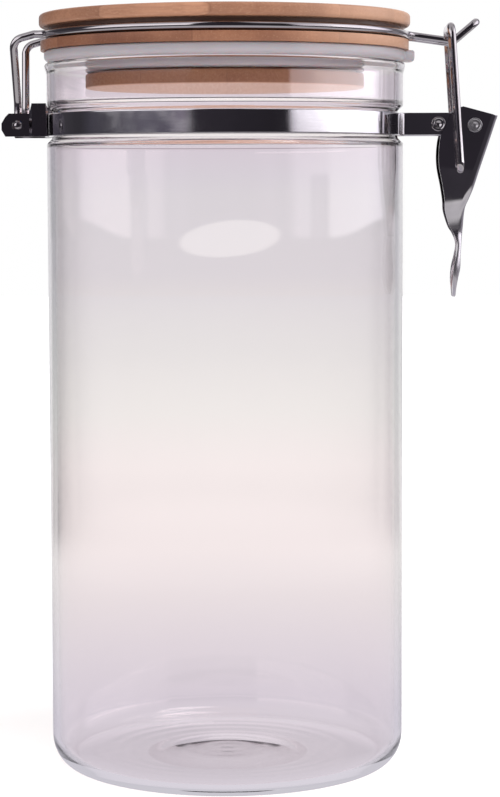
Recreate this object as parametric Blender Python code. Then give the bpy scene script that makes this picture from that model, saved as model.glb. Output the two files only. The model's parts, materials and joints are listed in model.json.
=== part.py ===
"""Clip-top glass jar: a straight glass jar with a bamboo lid, a silicone gasket and an over-centre clasp.

The jar stands on the floor at z = 0 with its hinge at -X and its clasp at +X.
A stainless band lies in a groove round the glass neck. It carries the hinge bracket on one side,
and its two turned-out ends carry the clasp lever on the other. One sprung wire runs from the hinge
round the lid's groove to a nose that the bail hooks over.
"""
import math

import bmesh
import bpy
from mathutils import Matrix, Vector

MM = 0.001

# General fits
CLEARANCE = 0.3 * MM
CUT_OVERRUN = 2.0 * MM
TURNED_STEPS = 48
GLASS_STEPS = 52

# Glass jar
GLASS_RADIUS = 52.5 * MM
GLASS_HEIGHT = 208.2 * MM
GLASS_WALL = 2.2 * MM
BASE_THICKNESS = 3.0 * MM
BASE_CORNER_REACH = 7.0 * MM
BASE_CORNER_HEIGHT = 9.0 * MM
PUNT_TOP_RADIUS = 8.0 * MM
PUNT_FOOT_RADIUS = 24.0 * MM
PUNT_RISE = 1.4 * MM
PUNT_INNER_RISE = 0.8 * MM
RIM_FLARE = 0.6 * MM
RIM_FLARE_HEIGHT = 9.0 * MM
RIM_EDGE_RADIUS = 0.9 * MM
SHOULDER_HEIGHT = 2.4 * MM
NECK_INNER_EASE = 0.7 * MM

# Neck band and the two ends that are turned out as tabs
BAND_BELOW_RIM = 21.4 * MM
BAND_WIDTH = 6.6 * MM
BAND_THICKNESS = 0.8 * MM
BAND_RECESS = 0.5 * MM
TAB_INNER_HALF = 5.5 * MM
TAB_BEND_RADIUS = 2.4 * MM
TAB_PAST_PIVOT = 3.6 * MM
TAB_CORNER_RADIUS = 2.8 * MM

# Lid, from the gasket up
GASKET_FLANGE = 2.9 * MM
GASKET_SKIRT_DROP = 3.2 * MM
GASKET_SKIRT_PLAY = 9.7 * MM
GASKET_RIM_INSET = 0.0 * MM
PULL_TAB_REACH = 2.7 * MM
PULL_TAB_WIDTH = 9.0 * MM
PULL_TAB_THICKNESS = 3.7 * MM
LID_FLANGE_THICKNESS = 2.9 * MM
LID_GROOVE_HEIGHT = 3.9 * MM
LID_TOP_THICKNESS = 3.8 * MM
LID_OVERHANG = 1.4 * MM
LID_EDGE_ROUND = 1.1 * MM
FLANGE_INSET = 0.4 * MM
FLANGE_CHAMFER = 0.6 * MM
PLUG_PLAY = 9.9 * MM
PLUG_THICKNESS = 4.2 * MM
PLUG_EDGE_ROUND = 0.6 * MM
PLUG_BOSS_LENGTH = 6.5 * MM
PLUG_BOSS_INSET = 2.4 * MM

# Lid wire
WIRE_DIAMETER = 2.3 * MM
WIRE_SET_IN = 1.3 * MM
WIRE_RING_STEPS = 26
WIRE_BEND_STEPS = 5
HINGE_STANDOFF = 7.6 * MM
HINGE_BELOW_BAND_CENTRE = 0.2 * MM
LEG_HALF_SPREAD = 9.8 * MM
SHOULDER_HALF_SPREAD = 15.5 * MM
SHOULDER_BEHIND_HINGE = 0.5 * MM
LEG_UPRIGHT = 6.4 * MM
LEG_FOOT_BEND = 2.0 * MM
LEG_LEAN_BEND = 6.0 * MM
LEG_TOP_BEND = 3.2 * MM
HINGE_RUN_DROP = 1.65 * MM
HINGE_RING_BEND = 5.0 * MM
CLASP_RING_BEND = 4.0 * MM
STEM_HALF_SPREAD = 4.0 * MM
STEM_DROP = 1.95 * MM
CROOK_BEHIND_PIVOT = 6.2 * MM
CROOK_BEND = 2.4 * MM
NOSE_RUN = 6.9 * MM
NOSE_RISE = 5.8 * MM
NOSE_HALF_SPREAD = 2.5 * MM

# Hinge bracket
BRACKET_THICKNESS = 0.8 * MM
CHEEK_GAP = 0.45 * MM
CHEEK_OUTER_REACH = 4.6 * MM
CHEEK_INNER_REACH = 3.7 * MM
CHEEK_HEIGHT = 6.7 * MM
CHEEK_NOSE_HEIGHT = 1.9 * MM
CHEEK_NOSE_RISE = 1.9 * MM
CHEEK_LOWER_CHAMFER = 1.1 * MM
CHEEK_UPPER_CHAMFER = 2.1 * MM
EAR_JOGGLE = 0.8 * MM
EAR_HEIGHT = 9.6 * MM
EAR_LENGTH = 3.7 * MM
EAR_BEND = 1.2 * MM
COLLAR_RADIUS = 2.05 * MM
COLLAR_HEIGHT = 0.6 * MM

# Clasp: pivot, lever and bail
PIVOT_STANDOFF = 20.6 * MM
PIVOT_BELOW_BAND_CENTRE = 0.4 * MM
TAB_RIVET_BACK = 10.5 * MM
RIVET_SHANK_RADIUS = 1.2 * MM
RIVET_HEAD_RADIUS = 2.1 * MM
TAB_RIVET_HEAD = 0.6 * MM
RIVET_EYE_RADIUS = 1.1 * MM
RIVET_EYE_DEPTH = 0.35 * MM
PIVOT_HEAD = 0.7 * MM
SPACER_RADIUS = 2.5 * MM
LEVER_THICKNESS = 0.8 * MM
LEVER_DEPTH = 14.4 * MM
LEVER_LENGTH = 50.3 * MM
LEVER_BEND_RADIUS = 1.9 * MM
LEVER_LIP = 0.15 * MM
HOLE_BACK = 4.2 * MM
HOLE_DROP = 12.8 * MM
BAIL_DIAMETER = 2.4 * MM
BAIL_END_REACH = 0.9 * MM
BAIL_FOOT_BEND = 2.0 * MM
BAIL_TOP_BEND = 3.0 * MM
CROSSBAR_BACK = 0.9 * MM
LATCH_PLAY = 1.8 * MM

# Lever stations from the top down. Each row holds the free edge's place (x, z), the web's place (x, z)
# and the half width, as shares of the lever's depth, its length below the pivot and its half width.
LEVER_STATION_shares = (
    (-0.230, 0.108, 0.470, 0.054, 1.0),
    (-0.350, 0.098, 0.455, 0.039, 1.0),
    (-0.465, 0.074, 0.432, 0.022, 1.0),
    (-0.569, 0.008, 0.362, -0.040, 1.0),
    (-0.681, -0.058, 0.290, -0.103, 1.0),
    (-0.726, -0.155, 0.186, -0.191, 1.0),
    (-0.714, -0.245, 0.094, -0.270, 1.0),
    (-0.646, -0.346, -0.010, -0.362, 0.98),
    (-0.600, -0.433, -0.095, -0.422, 0.93),
    (-0.590, -0.492, -0.172, -0.474, 0.86),
    (-0.543, -0.545, -0.200, -0.530, 0.78),
    (-0.485, -0.592, -0.212, -0.582, 0.73),
    (-0.400, -0.632, -0.228, -0.628, 0.72),
    (-0.328, -0.690, -0.250, -0.690, 0.80),
    (-0.355, -0.757, -0.268, -0.757, 0.93),
    (-0.407, -0.825, -0.272, -0.826, 0.99),
    (-0.427, -0.895, -0.322, -0.897, 0.95),
    (-0.418, -0.950, -0.350, -0.952, 0.76),
    (-0.418, -0.985, -0.350, -0.987, 0.46),
    (-0.418, -1.000, -0.350, -1.002, 0.22),
)

# Places and sizes that follow from the values above
BAND_BOTTOM = GLASS_HEIGHT - BAND_BELOW_RIM
BAND_TOP = BAND_BOTTOM + BAND_WIDTH
BAND_CENTRE = BAND_BOTTOM + BAND_WIDTH / 2
BAND_OUTER_RADIUS = GLASS_RADIUS - BAND_RECESS
BAND_MIDDLE_RADIUS = BAND_OUTER_RADIUS - BAND_THICKNESS / 2
NECK_GROOVE_RADIUS = BAND_OUTER_RADIUS - BAND_THICKNESS - CLEARANCE
TAB_OUTER_HALF = TAB_INNER_HALF + BAND_THICKNESS

GASKET_BOTTOM = GLASS_HEIGHT + CLEARANCE
GASKET_TOP = GASKET_BOTTOM + GASKET_FLANGE
LID_BOTTOM = GASKET_TOP + CLEARANCE
LID_FLANGE_TOP = LID_BOTTOM + LID_FLANGE_THICKNESS
LID_GROOVE_TOP = LID_FLANGE_TOP + LID_GROOVE_HEIGHT
LID_TOP = LID_GROOVE_TOP + LID_TOP_THICKNESS
PLUG_TOP = LID_BOTTOM - CLEARANCE - PLUG_BOSS_LENGTH
RIM_RADIUS = GLASS_RADIUS + RIM_FLARE
MOUTH_RADIUS = RIM_RADIUS - GLASS_WALL
LID_RADIUS = RIM_RADIUS + LID_OVERHANG
PLUG_RADIUS = MOUTH_RADIUS - PLUG_PLAY
PLUG_BOSS_RADIUS = PLUG_RADIUS - PLUG_BOSS_INSET

WIRE_RADIUS = WIRE_DIAMETER / 2
WIRE_RING_RADIUS = LID_RADIUS - WIRE_SET_IN
LID_GROOVE_RADIUS = WIRE_RING_RADIUS - WIRE_RADIUS - CLEARANCE
WIRE_RING_HEIGHT = LID_FLANGE_TOP + CLEARANCE + WIRE_RADIUS
HINGE = Vector((-(GLASS_RADIUS + HINGE_STANDOFF), 0, BAND_CENTRE - HINGE_BELOW_BAND_CENTRE))
CHEEK_INNER_HALF = LEG_HALF_SPREAD + WIRE_RADIUS + CHEEK_GAP
CHEEK_OUTER_HALF = CHEEK_INNER_HALF + BRACKET_THICKNESS
TRUNNION_HALF = CHEEK_OUTER_HALF + COLLAR_HEIGHT / 2

PIVOT = Vector((GLASS_RADIUS + PIVOT_STANDOFF, 0, BAND_CENTRE - PIVOT_BELOW_BAND_CENTRE))
CROOK = Vector((PIVOT.x - CROOK_BEHIND_PIVOT, 0, WIRE_RING_HEIGHT - STEM_DROP))
BAIL_RADIUS = BAIL_DIAMETER / 2
LEVER_INNER_HALF = TAB_OUTER_HALF + CLEARANCE + TAB_RIVET_HEAD + CLEARANCE
LEVER_OUTER_HALF = LEVER_INNER_HALF + LEVER_THICKNESS
PIVOT_HEAD_HALF = LEVER_OUTER_HALF + CLEARANCE + PIVOT_HEAD
BAIL_HALF = PIVOT_HEAD_HALF + CLEARANCE + BAIL_RADIUS
BAIL_HOLE = PIVOT + Vector((-HOLE_BACK, 0, -HOLE_DROP))
CROSSBAR = CROOK + Vector((-CROSSBAR_BACK, 0, WIRE_RADIUS + BAIL_RADIUS + LATCH_PLAY))

# The origin is under the centre of the whole object's box, so the jar's axis is a little to the left
HINGE_REACH = HINGE.x - CHEEK_OUTER_REACH
CLASP_REACH = PIVOT.x + LEVER_DEPTH * LEVER_STATION_shares[0][2]
JAR_AXIS = Vector((-(HINGE_REACH + CLASP_REACH) / 2, 0, 0))


def finish_material(name, colour, roughness, metallic, transmission=0.0):
    """A plain Principled material with one colour."""
    material = bpy.data.materials.new(name)
    material.use_nodes = True
    shader = material.node_tree.nodes["Principled BSDF"]
    shader.inputs["Base Color"].default_value = (*colour, 1)
    shader.inputs["Roughness"].default_value = roughness
    shader.inputs["Metallic"].default_value = metallic
    shader.inputs["Transmission Weight"].default_value = transmission
    material.diffuse_color = (*colour, 1)
    return material


def hang(item, parent, place):
    """Link an object under a parent so that it stands at a place given in the jar's own frame."""
    bpy.context.collection.objects.link(item)
    item.parent = parent
    held_at = parent.matrix_world.translation if parent else Vector()
    item.location = JAR_AXIS + place - held_at
    bpy.context.view_layer.update()
    return item


def axis_empty(name, place, parent=None):
    """An empty on a joint's axis, which carries the pieces that turn about it."""
    return hang(bpy.data.objects.new(name, None), parent, place)


def add_object(name, data, parent, material):
    """Hang mesh or curve data, written in the jar's own frame, on its body's empty."""
    data.materials.append(material)
    return hang(bpy.data.objects.new(name, data), parent, Vector())


def mesh_from(bm, name, smooth_angle=35):
    """Close a bmesh into mesh data with outward faces and shading that breaks at sharp edges."""
    bmesh.ops.recalc_face_normals(bm, faces=bm.faces)
    mesh = bpy.data.meshes.new(name)
    bm.to_mesh(mesh)
    bm.free()
    mesh.shade_smooth()
    mesh.set_sharp_from_angle(angle=math.radians(smooth_angle))
    return mesh


def arc(centre, radius, start, end, steps):
    """Points on an arc in a plane, from one angle to another, both included."""
    angles = [start + (end - start) * i / steps for i in range(steps + 1)]
    return [(centre[0] + radius * math.cos(a), centre[1] + radius * math.sin(a)) for a in angles]


def smooth_step(low, high, value):
    """0 below low, 1 above high and an S-curve between."""
    t = min(max((value - low) / (high - low), 0), 1)
    return t * t * (3 - 2 * t)


def turned(name, profile, steps=TURNED_STEPS, closed=False):
    """Spin a profile of (radius, height) points round the vertical axis."""
    bm = bmesh.new()
    points = [bm.verts.new((r, 0, z)) for r, z in profile]
    pairs = list(zip(points, points[1:]))
    if closed:
        pairs.append((points[-1], points[0]))
    edges = [bm.edges.new(pair) for pair in pairs]
    bmesh.ops.spin(bm, geom=points + edges, cent=(0, 0, 0), axis=(0, 0, 1), angle=math.tau, steps=steps)
    bmesh.ops.remove_doubles(bm, verts=bm.verts, dist=0.001 * MM)
    return mesh_from(bm, name)


def rod(name, radius, half_length, centre, steps=20):
    """A round bar along Y, centred on a place."""
    bm = bmesh.new()
    lie_along_y = Matrix.Translation(centre) @ Matrix.Rotation(math.pi / 2, 4, "X")
    bmesh.ops.create_cone(bm, cap_ends=True, segments=steps, radius1=radius, radius2=radius,
                          depth=2 * half_length, matrix=lie_along_y)
    return mesh_from(bm, name)


def turned_pin(name, profile, centre, steps=20):
    """Spin a profile of (radius, y) points round a Y axis through a place."""
    bm = bmesh.new()
    points = [bm.verts.new((r, y, 0)) for r, y in profile]
    edges = [bm.edges.new(pair) for pair in zip(points, points[1:])]
    bmesh.ops.spin(bm, geom=points + edges, cent=(0, 0, 0), axis=(0, 1, 0), angle=math.tau, steps=steps)
    bmesh.ops.remove_doubles(bm, verts=bm.verts, dist=0.001 * MM)
    bmesh.ops.translate(bm, verts=bm.verts, vec=centre)
    return mesh_from(bm, name)


def boolean(item, tool_mesh, parent, operation):
    """Cut item with a hidden tool, or join the tool's shape to it."""
    tool = hang(bpy.data.objects.new(item.name + "_tool", tool_mesh), parent, Vector())
    tool.hide_render = True
    tool.display_type = "WIRE"
    modifier = item.modifiers.new(operation.lower(), "BOOLEAN")
    modifier.operation = operation
    modifier.object = tool


def rounded(corners, radii, steps=WIRE_BEND_STEPS):
    """A path through corners, each inner corner replaced by an arc of its own radius."""
    path = [Vector(corners[0])]
    for before, corner, after, radius in zip(corners, corners[1:], corners[2:], radii):
        back = (Vector(before) - Vector(corner)).normalized()
        onward = (Vector(after) - Vector(corner)).normalized()
        half_turn = back.angle(onward) / 2
        inward = (back + onward).normalized()
        centre = Vector(corner) + inward * (radius / math.sin(half_turn))
        first = Vector(corner) + back * (radius / math.tan(half_turn)) - centre
        last = Vector(corner) + onward * (radius / math.tan(half_turn)) - centre
        for i in range(steps + 1):
            direction = first.lerp(last, i / steps).normalized()
            path.append(centre + direction * radius)
    path.append(Vector(corners[-1]))
    return path


def wire(name, path, radius):
    """Round wire: a poly curve with a bevel and filled ends."""
    curve = bpy.data.curves.new(name, "CURVE")
    curve.dimensions = "3D"
    spline = curve.splines.new("POLY")
    spline.points.add(len(path) - 1)
    for point, place in zip(spline.points, path):
        point.co = (*place, 1)
    curve.bevel_depth = radius
    curve.bevel_resolution = 3
    curve.use_fill_caps = True
    return curve


def strip(name, stations, thickness):
    """Sheet metal on edge: stations of (x, y, low, high) along its middle line, given a thickness."""
    bm = bmesh.new()
    rings = []
    for i, (x, y, low, high) in enumerate(stations):
        before = stations[max(i - 1, 0)]
        after = stations[min(i + 1, len(stations) - 1)]
        back = Vector((x - before[0], y - before[1]))
        onward = Vector((after[0] - x, after[1] - y))
        tangent = (back.normalized() + onward.normalized()).normalized()
        corner = 1 / max(tangent.dot(onward.normalized() if onward.length else tangent), 0.5)
        side = Vector((-tangent.y, tangent.x)) * (thickness / 2 * corner)
        corners = ((x + side.x, y + side.y, low), (x + side.x, y + side.y, high),
                   (x - side.x, y - side.y, high), (x - side.x, y - side.y, low))
        rings.append([bm.verts.new(c) for c in corners])
    for ring, following in zip(rings, rings[1:]):
        for i in range(4):
            j = (i + 1) % 4
            bm.faces.new((ring[i], ring[j], following[j], following[i]))
    bm.faces.new(rings[0])
    bm.faces.new(rings[-1])
    return bm


def glass_radius(z, ease=0):
    """Straight wall, drawn in at the band's groove and flared a little at the rim.

    The ease makes the groove wider by that much above and below.
    """
    depth = GLASS_RADIUS - NECK_GROOVE_RADIUS
    into = smooth_step(BAND_BOTTOM - SHOULDER_HEIGHT - ease, BAND_BOTTOM - CLEARANCE - ease, z)
    out_of = smooth_step(BAND_TOP + CLEARANCE + ease, BAND_TOP + SHOULDER_HEIGHT + ease, z)
    flare = RIM_FLARE * smooth_step(GLASS_HEIGHT - RIM_FLARE_HEIGHT, GLASS_HEIGHT - RIM_EDGE_RADIUS, z)
    return GLASS_RADIUS - depth * (into - out_of) + flare


def wall_heights(ease=0):
    """Heights at which the wall's radius changes: the groove's two shoulders and the flare."""
    heights = []
    for bottom, top in ((BAND_BOTTOM - SHOULDER_HEIGHT - ease, BAND_BOTTOM - CLEARANCE - ease),
                        (BAND_TOP + CLEARANCE + ease, BAND_TOP + SHOULDER_HEIGHT + ease),
                        (GLASS_HEIGHT - RIM_FLARE_HEIGHT, GLASS_HEIGHT - RIM_EDGE_RADIUS)):
        heights += [bottom + (top - bottom) * i / 3 for i in range(4)]
    return heights


def base_corner(reach, height, steps):
    """The quarter of an ellipse between the flat base and the wall, from the wall's side down."""
    centre = (GLASS_RADIUS - BASE_CORNER_REACH, BASE_CORNER_HEIGHT)
    return [(centre[0] + reach * x, centre[1] + height * z) for x, z in arc((0, 0), 1, 0, -math.pi / 2, steps)]


def glass_jar_mesh():
    """One wall from the dimpled base up the outside, over the fire-polished rim and down the inside."""
    outer = [(0, PUNT_RISE)]
    for i in range(4):
        r = PUNT_TOP_RADIUS + (PUNT_FOOT_RADIUS - PUNT_TOP_RADIUS) * i / 3
        outer.append((r, PUNT_RISE * (1 - smooth_step(PUNT_TOP_RADIUS, PUNT_FOOT_RADIUS, r))))
    outer += reversed(base_corner(BASE_CORNER_REACH, BASE_CORNER_HEIGHT, 5))
    outer += [(glass_radius(z), z) for z in wall_heights()]
    rim_centre = RIM_RADIUS - RIM_EDGE_RADIUS
    rim = arc((rim_centre, GLASS_HEIGHT - RIM_EDGE_RADIUS), RIM_EDGE_RADIUS, 0, math.pi / 2, 3)[1:]
    inner_centre = MOUTH_RADIUS + RIM_EDGE_RADIUS
    rim += arc((inner_centre, GLASS_HEIGHT - RIM_EDGE_RADIUS), RIM_EDGE_RADIUS, math.pi / 2, math.pi, 3)
    inner_heights = wall_heights(NECK_INNER_EASE)
    inner = [(glass_radius(z, NECK_INNER_EASE) - GLASS_WALL, z) for z in reversed(inner_heights[:-1])]
    inner += base_corner(BASE_CORNER_REACH - GLASS_WALL, BASE_CORNER_HEIGHT - BASE_THICKNESS, 4)
    inner += [(PUNT_FOOT_RADIUS, BASE_THICKNESS), (PUNT_TOP_RADIUS, BASE_THICKNESS + PUNT_INNER_RISE)]
    inner.append((0, BASE_THICKNESS + PUNT_INNER_RISE))
    return turned("glass_jar", outer + rim + inner, GLASS_STEPS)


def lid_disc_mesh():
    """Turned bamboo: a round-edged top, the wire's groove and a chamfered flange that presses the gasket."""
    flange_radius = LID_RADIUS - FLANGE_INSET
    profile = [(0, LID_BOTTOM), (flange_radius - FLANGE_CHAMFER, LID_BOTTOM)]
    profile += [(flange_radius, LID_BOTTOM + FLANGE_CHAMFER), (flange_radius, LID_FLANGE_TOP)]
    profile += [(LID_GROOVE_RADIUS, LID_FLANGE_TOP), (LID_GROOVE_RADIUS, LID_GROOVE_TOP)]
    edge = LID_RADIUS - LID_EDGE_ROUND
    profile += arc((edge, LID_GROOVE_TOP + LID_EDGE_ROUND), LID_EDGE_ROUND, -math.pi / 2, 0, 3)
    profile += arc((edge, LID_TOP - LID_EDGE_ROUND), LID_EDGE_ROUND, 0, math.pi / 2, 3)
    profile.append((0, LID_TOP))
    return turned("lid_disc", profile)


def lid_plug_mesh():
    """The disc that centres the lid in the jar's mouth, with the narrower boss that carries the gasket."""
    bottom = PLUG_TOP - PLUG_THICKNESS
    edge = PLUG_RADIUS - PLUG_EDGE_ROUND
    profile = [(0, bottom)]
    profile += arc((edge, bottom + PLUG_EDGE_ROUND), PLUG_EDGE_ROUND, -math.pi / 2, 0, 2)
    profile += arc((edge, PLUG_TOP - PLUG_EDGE_ROUND), PLUG_EDGE_ROUND, 0, math.pi / 2, 2)
    profile += [(PLUG_BOSS_RADIUS, PLUG_TOP), (PLUG_BOSS_RADIUS, LID_BOTTOM - CLEARANCE)]
    profile.append((0, LID_BOTTOM - CLEARANCE))
    return turned("lid_plug", profile)


def gasket_mesh():
    """A flat flange between rim and lid, with a sleeve that hangs round the plug's boss."""
    bore = PLUG_BOSS_RADIUS + CLEARANCE
    skirt_outer = MOUTH_RADIUS - GASKET_SKIRT_PLAY
    skirt_end = GASKET_BOTTOM - GASKET_SKIRT_DROP
    flange_edge = RIM_RADIUS - GASKET_RIM_INSET
    round_radius = GASKET_FLANGE / 2
    profile = [(bore, GASKET_TOP)]
    lip = (skirt_outer - bore) / 2
    profile += arc((skirt_outer - lip, skirt_end + lip), lip, -math.pi, 0, 4)
    profile += [(skirt_outer, GASKET_BOTTOM)]
    profile += arc((flange_edge - round_radius, GASKET_BOTTOM + round_radius), round_radius,
                   -math.pi / 2, math.pi / 2, 4)
    return turned("gasket", profile, closed=True)


def pull_tab_mesh():
    """The tongue that a finger pulls to free the gasket: thicker outside the rim, rounded at its end."""
    root = RIM_RADIUS - 2 * RIM_EDGE_RADIUS
    step = RIM_RADIUS + CLEARANCE
    end = RIM_RADIUS - GASKET_RIM_INSET + PULL_TAB_REACH
    low = GASKET_TOP - PULL_TAB_THICKNESS
    nose = PULL_TAB_THICKNESS / 2
    side = [(root, GASKET_TOP - CLEARANCE / 2), (root, GASKET_BOTTOM + CLEARANCE / 2)]
    side += [(step, GASKET_BOTTOM + CLEARANCE / 2), (step, low + nose / 4), (step + nose / 4, low)]
    side += arc((end - nose, low + nose), nose, -math.pi / 2, math.pi / 2, 6)[:-1]
    side += [(end - nose, GASKET_TOP - CLEARANCE / 2)]
    bm = bmesh.new()
    near = [bm.verts.new((x, -PULL_TAB_WIDTH / 2, z)) for x, z in side]
    face = bm.faces.new(near)
    raised = bmesh.ops.extrude_face_region(bm, geom=[face])
    far = [item for item in raised["geom"] if isinstance(item, bmesh.types.BMVert)]
    bmesh.ops.translate(bm, verts=far, vec=(0, PULL_TAB_WIDTH, 0))
    return mesh_from(bm, "pull_tab")


def ring_height(x):
    """The lid wire lies level in its groove and slopes down on its way out at both sides."""
    hinge_start = math.sqrt((WIRE_RING_RADIUS + HINGE_RING_BEND) ** 2
                            - (SHOULDER_HALF_SPREAD + HINGE_RING_BEND) ** 2)
    hinge_slope = HINGE_RUN_DROP / (-HINGE.x - hinge_start)
    stem_slope = STEM_DROP / (CROOK.x - WIRE_RING_RADIUS)
    drop = hinge_slope * max(-x - hinge_start, 0) + stem_slope * max(x - WIRE_RING_RADIUS, 0)
    return WIRE_RING_HEIGHT - drop


def ring_run(spread, bend, at_hinge):
    """The bend that joins a straight run at y = -spread to the groove's circle, in plan view.

    The bend's centre lies outside the circle by its own radius, and as far off the straight run.
    """
    y = spread + bend
    x = math.sqrt((WIRE_RING_RADIUS + bend) ** 2 - y ** 2)
    lean = math.asin(y / (WIRE_RING_RADIUS + bend))
    if at_hinge:
        return arc((-x, -y), bend, math.pi / 2, lean, WIRE_BEND_STEPS), math.pi + lean
    return arc((x, -y), bend, math.pi - lean, math.pi / 2, WIRE_BEND_STEPS), math.tau - lean


def lid_wire_half():
    """The half at -Y, from its hinge end up, round the groove and out to the tip of the nose."""
    shoulder = (HINGE.x - SHOULDER_BEHIND_HINGE, -SHOULDER_HALF_SPREAD, ring_height(HINGE.x))
    hinge_bend, first_angle = ring_run(SHOULDER_HALF_SPREAD, HINGE_RING_BEND, True)
    clasp_bend, last_angle = ring_run(STEM_HALF_SPREAD, CLASP_RING_BEND, False)
    leg = [(HINGE.x, -TRUNNION_HALF, HINGE.z), (HINGE.x, -LEG_HALF_SPREAD, HINGE.z),
           (HINGE.x, -LEG_HALF_SPREAD, HINGE.z + LEG_UPRIGHT), shoulder,
           (hinge_bend[0][0], hinge_bend[0][1], ring_height(hinge_bend[0][0]))]
    path = rounded(leg, (LEG_FOOT_BEND, LEG_LEAN_BEND, LEG_TOP_BEND))[:-1]
    plan = hinge_bend + arc((0, 0), WIRE_RING_RADIUS, first_angle, last_angle, WIRE_RING_STEPS)[1:-1]
    plan += clasp_bend
    path += [Vector((x, y, ring_height(x))) for x, y in plan]
    slope = Vector((NOSE_RUN, 0, NOSE_RISE)).normalized()
    tip = CROOK + Vector((NOSE_RUN, 0, NOSE_RISE))
    turn_start = tip - slope * NOSE_HALF_SPREAD - Vector((0, NOSE_HALF_SPREAD, 0))
    crook = CROOK - Vector((0, STEM_HALF_SPREAD, 0))
    path += rounded([path[-1], crook, turn_start], (CROOK_BEND,))[1:-1]
    for x, y in arc((0, 0), NOSE_HALF_SPREAD, -math.pi / 2, 0, WIRE_BEND_STEPS):
        path.append(tip + slope * (x - NOSE_HALF_SPREAD) + Vector((0, y, 0)))
    return path


def mirrored_path(half):
    """A half path at -Y, followed by its mirror image back at +Y."""
    other = [Vector((p.x, -p.y, p.z)) for p in reversed(half)]
    if half[-1].y == other[0].y:
        other = other[1:]
    return half + other


def bail_path():
    """From a pin end inside the lever out through its cheek, up one leg, across and back down the other."""
    inner_end = LEVER_INNER_HALF - BAIL_END_REACH
    corners = [(BAIL_HOLE.x, -inner_end, BAIL_HOLE.z), (BAIL_HOLE.x, -BAIL_HALF, BAIL_HOLE.z),
               (CROSSBAR.x, -BAIL_HALF, CROSSBAR.z), (CROSSBAR.x, BAIL_HALF, CROSSBAR.z),
               (BAIL_HOLE.x, BAIL_HALF, BAIL_HOLE.z), (BAIL_HOLE.x, inner_end, BAIL_HOLE.z)]
    return rounded(corners, (BAIL_FOOT_BEND, BAIL_TOP_BEND, BAIL_TOP_BEND, BAIL_FOOT_BEND))


def neck_band_mesh():
    """The strap in the neck's groove; past a bend at each end it runs out as a tab with round corners."""
    tab_half = TAB_INNER_HALF + BAND_THICKNESS / 2
    reach = BAND_MIDDLE_RADIUS + TAB_BEND_RADIUS
    bend_y = tab_half + TAB_BEND_RADIUS
    bend_x = math.sqrt(reach ** 2 - bend_y ** 2)
    lean = math.asin(bend_y / reach)
    tab_end = PIVOT.x + TAB_PAST_PIVOT
    plan = [(tab_end, tab_half)]
    plan += arc((bend_x, bend_y), TAB_BEND_RADIUS, -math.pi / 2, -math.pi + lean, 5)
    plan += arc((0, 0), BAND_MIDDLE_RADIUS, lean, math.tau - lean, TURNED_STEPS)[1:-1]
    plan += [(x, -y) for x, y in reversed(plan[:7])]
    bm = strip("neck_band", [(x, y, BAND_BOTTOM, BAND_TOP) for x, y in plan], BAND_THICKNESS)
    near_end = tab_end - CLEARANCE
    corners = []
    for edge in bm.edges:
        a, b = edge.verts
        if a.co.x > near_end and b.co.x > near_end and abs(a.co.z - b.co.z) < CLEARANCE:
            corners.append(edge)
    bmesh.ops.bevel(bm, geom=corners, offset=TAB_CORNER_RADIUS, segments=4, profile=0.5, affect="EDGES")
    return mesh_from(bm, "neck_band")


def hinge_bracket_mesh():
    """Two cheeks for the wire's ends, stepped out to taller ears and joined by a saddle on the band."""
    low = HINGE.z - CHEEK_HEIGHT / 2 + HINGE_BELOW_BAND_CENTRE
    high = low + CHEEK_HEIGHT
    nose_low = low + CHEEK_NOSE_RISE
    cheek = CHEEK_OUTER_HALF - BRACKET_THICKNESS / 2
    ear = cheek + EAR_JOGGLE
    saddle_radius = BAND_OUTER_RADIUS + CLEARANCE + BRACKET_THICKNESS / 2
    tip = HINGE.x - CHEEK_OUTER_REACH
    root = HINGE.x + CHEEK_INNER_REACH
    ear_start = root + EAR_JOGGLE
    ear_end = ear_start + EAR_LENGTH
    half = [(tip, -cheek, nose_low, nose_low + CHEEK_NOSE_HEIGHT),
            (tip + CHEEK_LOWER_CHAMFER, -cheek, low, high - CHEEK_UPPER_CHAMFER / 2),
            (tip + CHEEK_UPPER_CHAMFER, -cheek, low, high), (root, -cheek, low, high),
            (ear_start, -ear, low, low + EAR_HEIGHT), (ear_end, -ear, low, low + EAR_HEIGHT)]
    meet = math.asin((ear - EAR_BEND) / saddle_radius)
    saddle = arc((0, 0), saddle_radius, math.pi + meet, math.pi - meet, 8)
    half.append((saddle[0][0], saddle[0][1], low, low + CHEEK_HEIGHT))
    stations = half + [(x, y, low, high) for x, y in saddle[1:-1]]
    stations += [(x, -y, bottom, top) for x, y, bottom, top in reversed(half)]
    return mesh_from(strip("hinge_bracket", stations, BRACKET_THICKNESS), "hinge_bracket")


def lever_section(free_edge, web, half):
    """One U-shaped station: cheek ends at the free edge, a web with round corners on the outer side."""
    free_edge = Vector(free_edge)
    web = Vector(web)
    depth = max((free_edge - web).length, LEVER_THICKNESS + LEVER_LIP)
    inward = (free_edge - web).normalized()
    bend = min(LEVER_BEND_RADIUS, depth, half / 2)
    inner_bend = max(bend - LEVER_THICKNESS, LEVER_LIP / 2)
    wall = half - LEVER_THICKNESS
    outline = [(depth, -half)] + arc((bend, bend - half), bend, -math.pi / 2, -math.pi, 3)
    outline += [(u, -v) for u, v in reversed(outline)]
    inner_centre = (LEVER_THICKNESS + inner_bend, inner_bend - wall)
    inner = [(depth, -wall)] + arc(inner_centre, inner_bend, -math.pi / 2, -math.pi, 3)
    inner += [(u, -v) for u, v in reversed(inner)]
    outline += list(reversed([(min(u, depth), v) for u, v in inner]))
    return [(web.x + inward.x * u, v, web.y + inward.y * u) for u, v in outline]


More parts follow.
